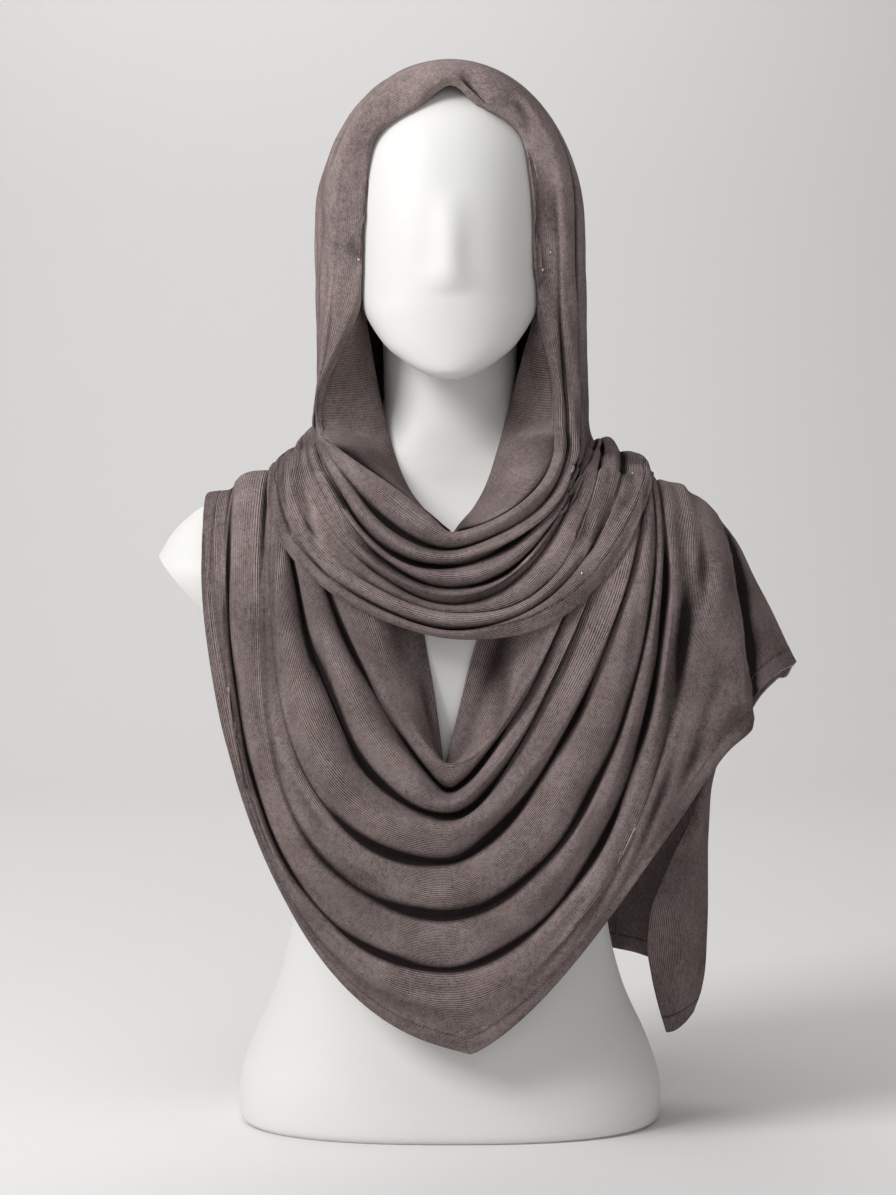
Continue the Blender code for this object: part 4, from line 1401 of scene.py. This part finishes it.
grid = creased(shawl_grid(), SHAWL_CREASES)
grid = rippled(grid, seed=3, height=0.5, along_mm=90, across_mm=26)
grid = clear_of(grid, [bust])
shawl = cloth("shawl", grid, jersey, closed=True)
shawl_stitches = stitched("shawl_hem_stitches", hem_path(grid), thread)

grid, relief = cowl_grid()
grid = grid + grid_normals(grid, True) * relief[:, :, None]
grid = creased(grid, COWL_CREASES)
grid = rippled(grid, seed=5, height=0.4, along_mm=80, across_mm=24)
grid = clear_of(grid, [bust, shawl])
rim = grid[0]
grid = rolled(grid, ROLL_RADIUS, ROLL_TURN, ROLL_ROWS)
cowl = cloth("cowl", grid, jersey, closed=True)

inner = [
    cloth(name + "_cloth", inner_grid(table, rim), jersey) for name, table in INNER_FACES.items()
]
fall = cloth("hanging_end", fall_grid(), jersey, hem="last_column")
grid = tail_grid()
tail = cloth("folded_tail", grid, jersey, ribs=rib_numbers(grid, True), hem="first_row")

for piece, nodes, flat, rests_on, details in (
    # nodes it stands for, the cut of what shows (width and length in metres), what it rests on
    (shawl, ("chest_drape", "back_swag"), (0.31, 1.12), [bust], [shawl_stitches]),
    (cowl, ("hood", "chin_wrap"), (0.27, 0.92), [bust, shawl], []),
    (inner[0], ("inner_face_left",), (0.06, 0.20), [cowl, bust], []),
    (inner[1], ("inner_face_right",), (0.06, 0.20), [cowl, bust], []),
    (fall, ("back_fall",), (0.13, 0.33), [shawl], []),
    (tail, ("tail",), (0.045, 0.21), [fall], []),
):
    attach(piece, "root")
    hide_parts(*nodes)

for name, (across, up) in PINS.items():
    head = pin_head(name + "_head", across, up, cowl, steel)
    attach(head, "root")
    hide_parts(name)

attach(shawl_stitches, "root")

# ---- the studio

# In metres: how far the wall stands behind the form, the radius it turns up on, and so on.
WALL = {"behind": 4.0, "bend": 1.4, "in_front": 6.0, "height": 6.0, "half_width": 9.0, "steps": 12}
LIGHTS = {
    # where it hangs, where it points, watts, size
    "key": ((-1.8, -1.45, 1.9), (0, 0, 0.4), 53, 1.0),
    "front": ((0.1, -2.6, 0.9), (0, 0, 0.35), 8, 1.8),
    "overhead": ((0.0, -0.8, 2.6), (0.0, -0.3, 0.1), 13, 1.5),
    "wall": ((-0.6, 2.0, 3.0), (-0.3, 3.6, 0.2), 42, 2.6),
}
WORLD_STRENGTH = 0.18
CAMERA_PLACE = (-0.0014, -1.6, 0.372)
CAMERA_LENS = 66.9


def add_light(name, place, aim, power, size):
    light = bpy.data.lights.new(name, "AREA")
    light.energy, light.size = power, size
    obj = in_scene(name, light)
    obj.location = place
    obj.rotation_euler = (Vector(aim) - Vector(place)).to_track_quat("-Z", "Y").to_euler()


def backdrop():
    """A pale floor that turns up into a wall a long way behind."""
    bend, start = WALL["bend"], WALL["behind"] - WALL["bend"]
    profile = [(-WALL["in_front"], 0.0), (start, 0.0)]
    for step in range(1, WALL["steps"] + 1):
        turn = math.pi / 2 * step / WALL["steps"]
        profile.append((start + bend * math.sin(turn), bend * (1 - math.cos(turn))))
    profile.append((WALL["behind"], WALL["height"]))
    wide = WALL["half_width"]
    points = [np.array((x, y, z)) / MM for y, z in profile for x in (-wide, wide)]
    faces = [(2 * k, 2 * k + 1, 2 * k + 3, 2 * k + 2) for k in range(len(profile) - 1)]
    material = plain_material("backdrop_paper", (0.84, 0.83, 0.82), 0.9)
    mesh_object("backdrop", points, faces, material)


backdrop()
for name, values in LIGHTS.items():
    add_light(name, *values)
world = bpy.data.worlds.new("studio")
world.use_nodes = True
background = world.node_tree.nodes["Background"].inputs
background["Color"].default_value = (1, 1, 1, 1)
background["Strength"].default_value = WORLD_STRENGTH
bpy.context.scene.world = world
bpy.context.scene.view_settings.view_transform = "Standard"

camera = in_scene("camera", bpy.data.cameras.new("camera"))
camera.data.sensor_fit = "VERTICAL"
camera.data.sensor_height = 36.0
camera.data.lens = CAMERA_LENS
camera.location = CAMERA_PLACE
camera.rotation_euler = (math.pi / 2, 0, 0)
bpy.context.scene.camera = camera
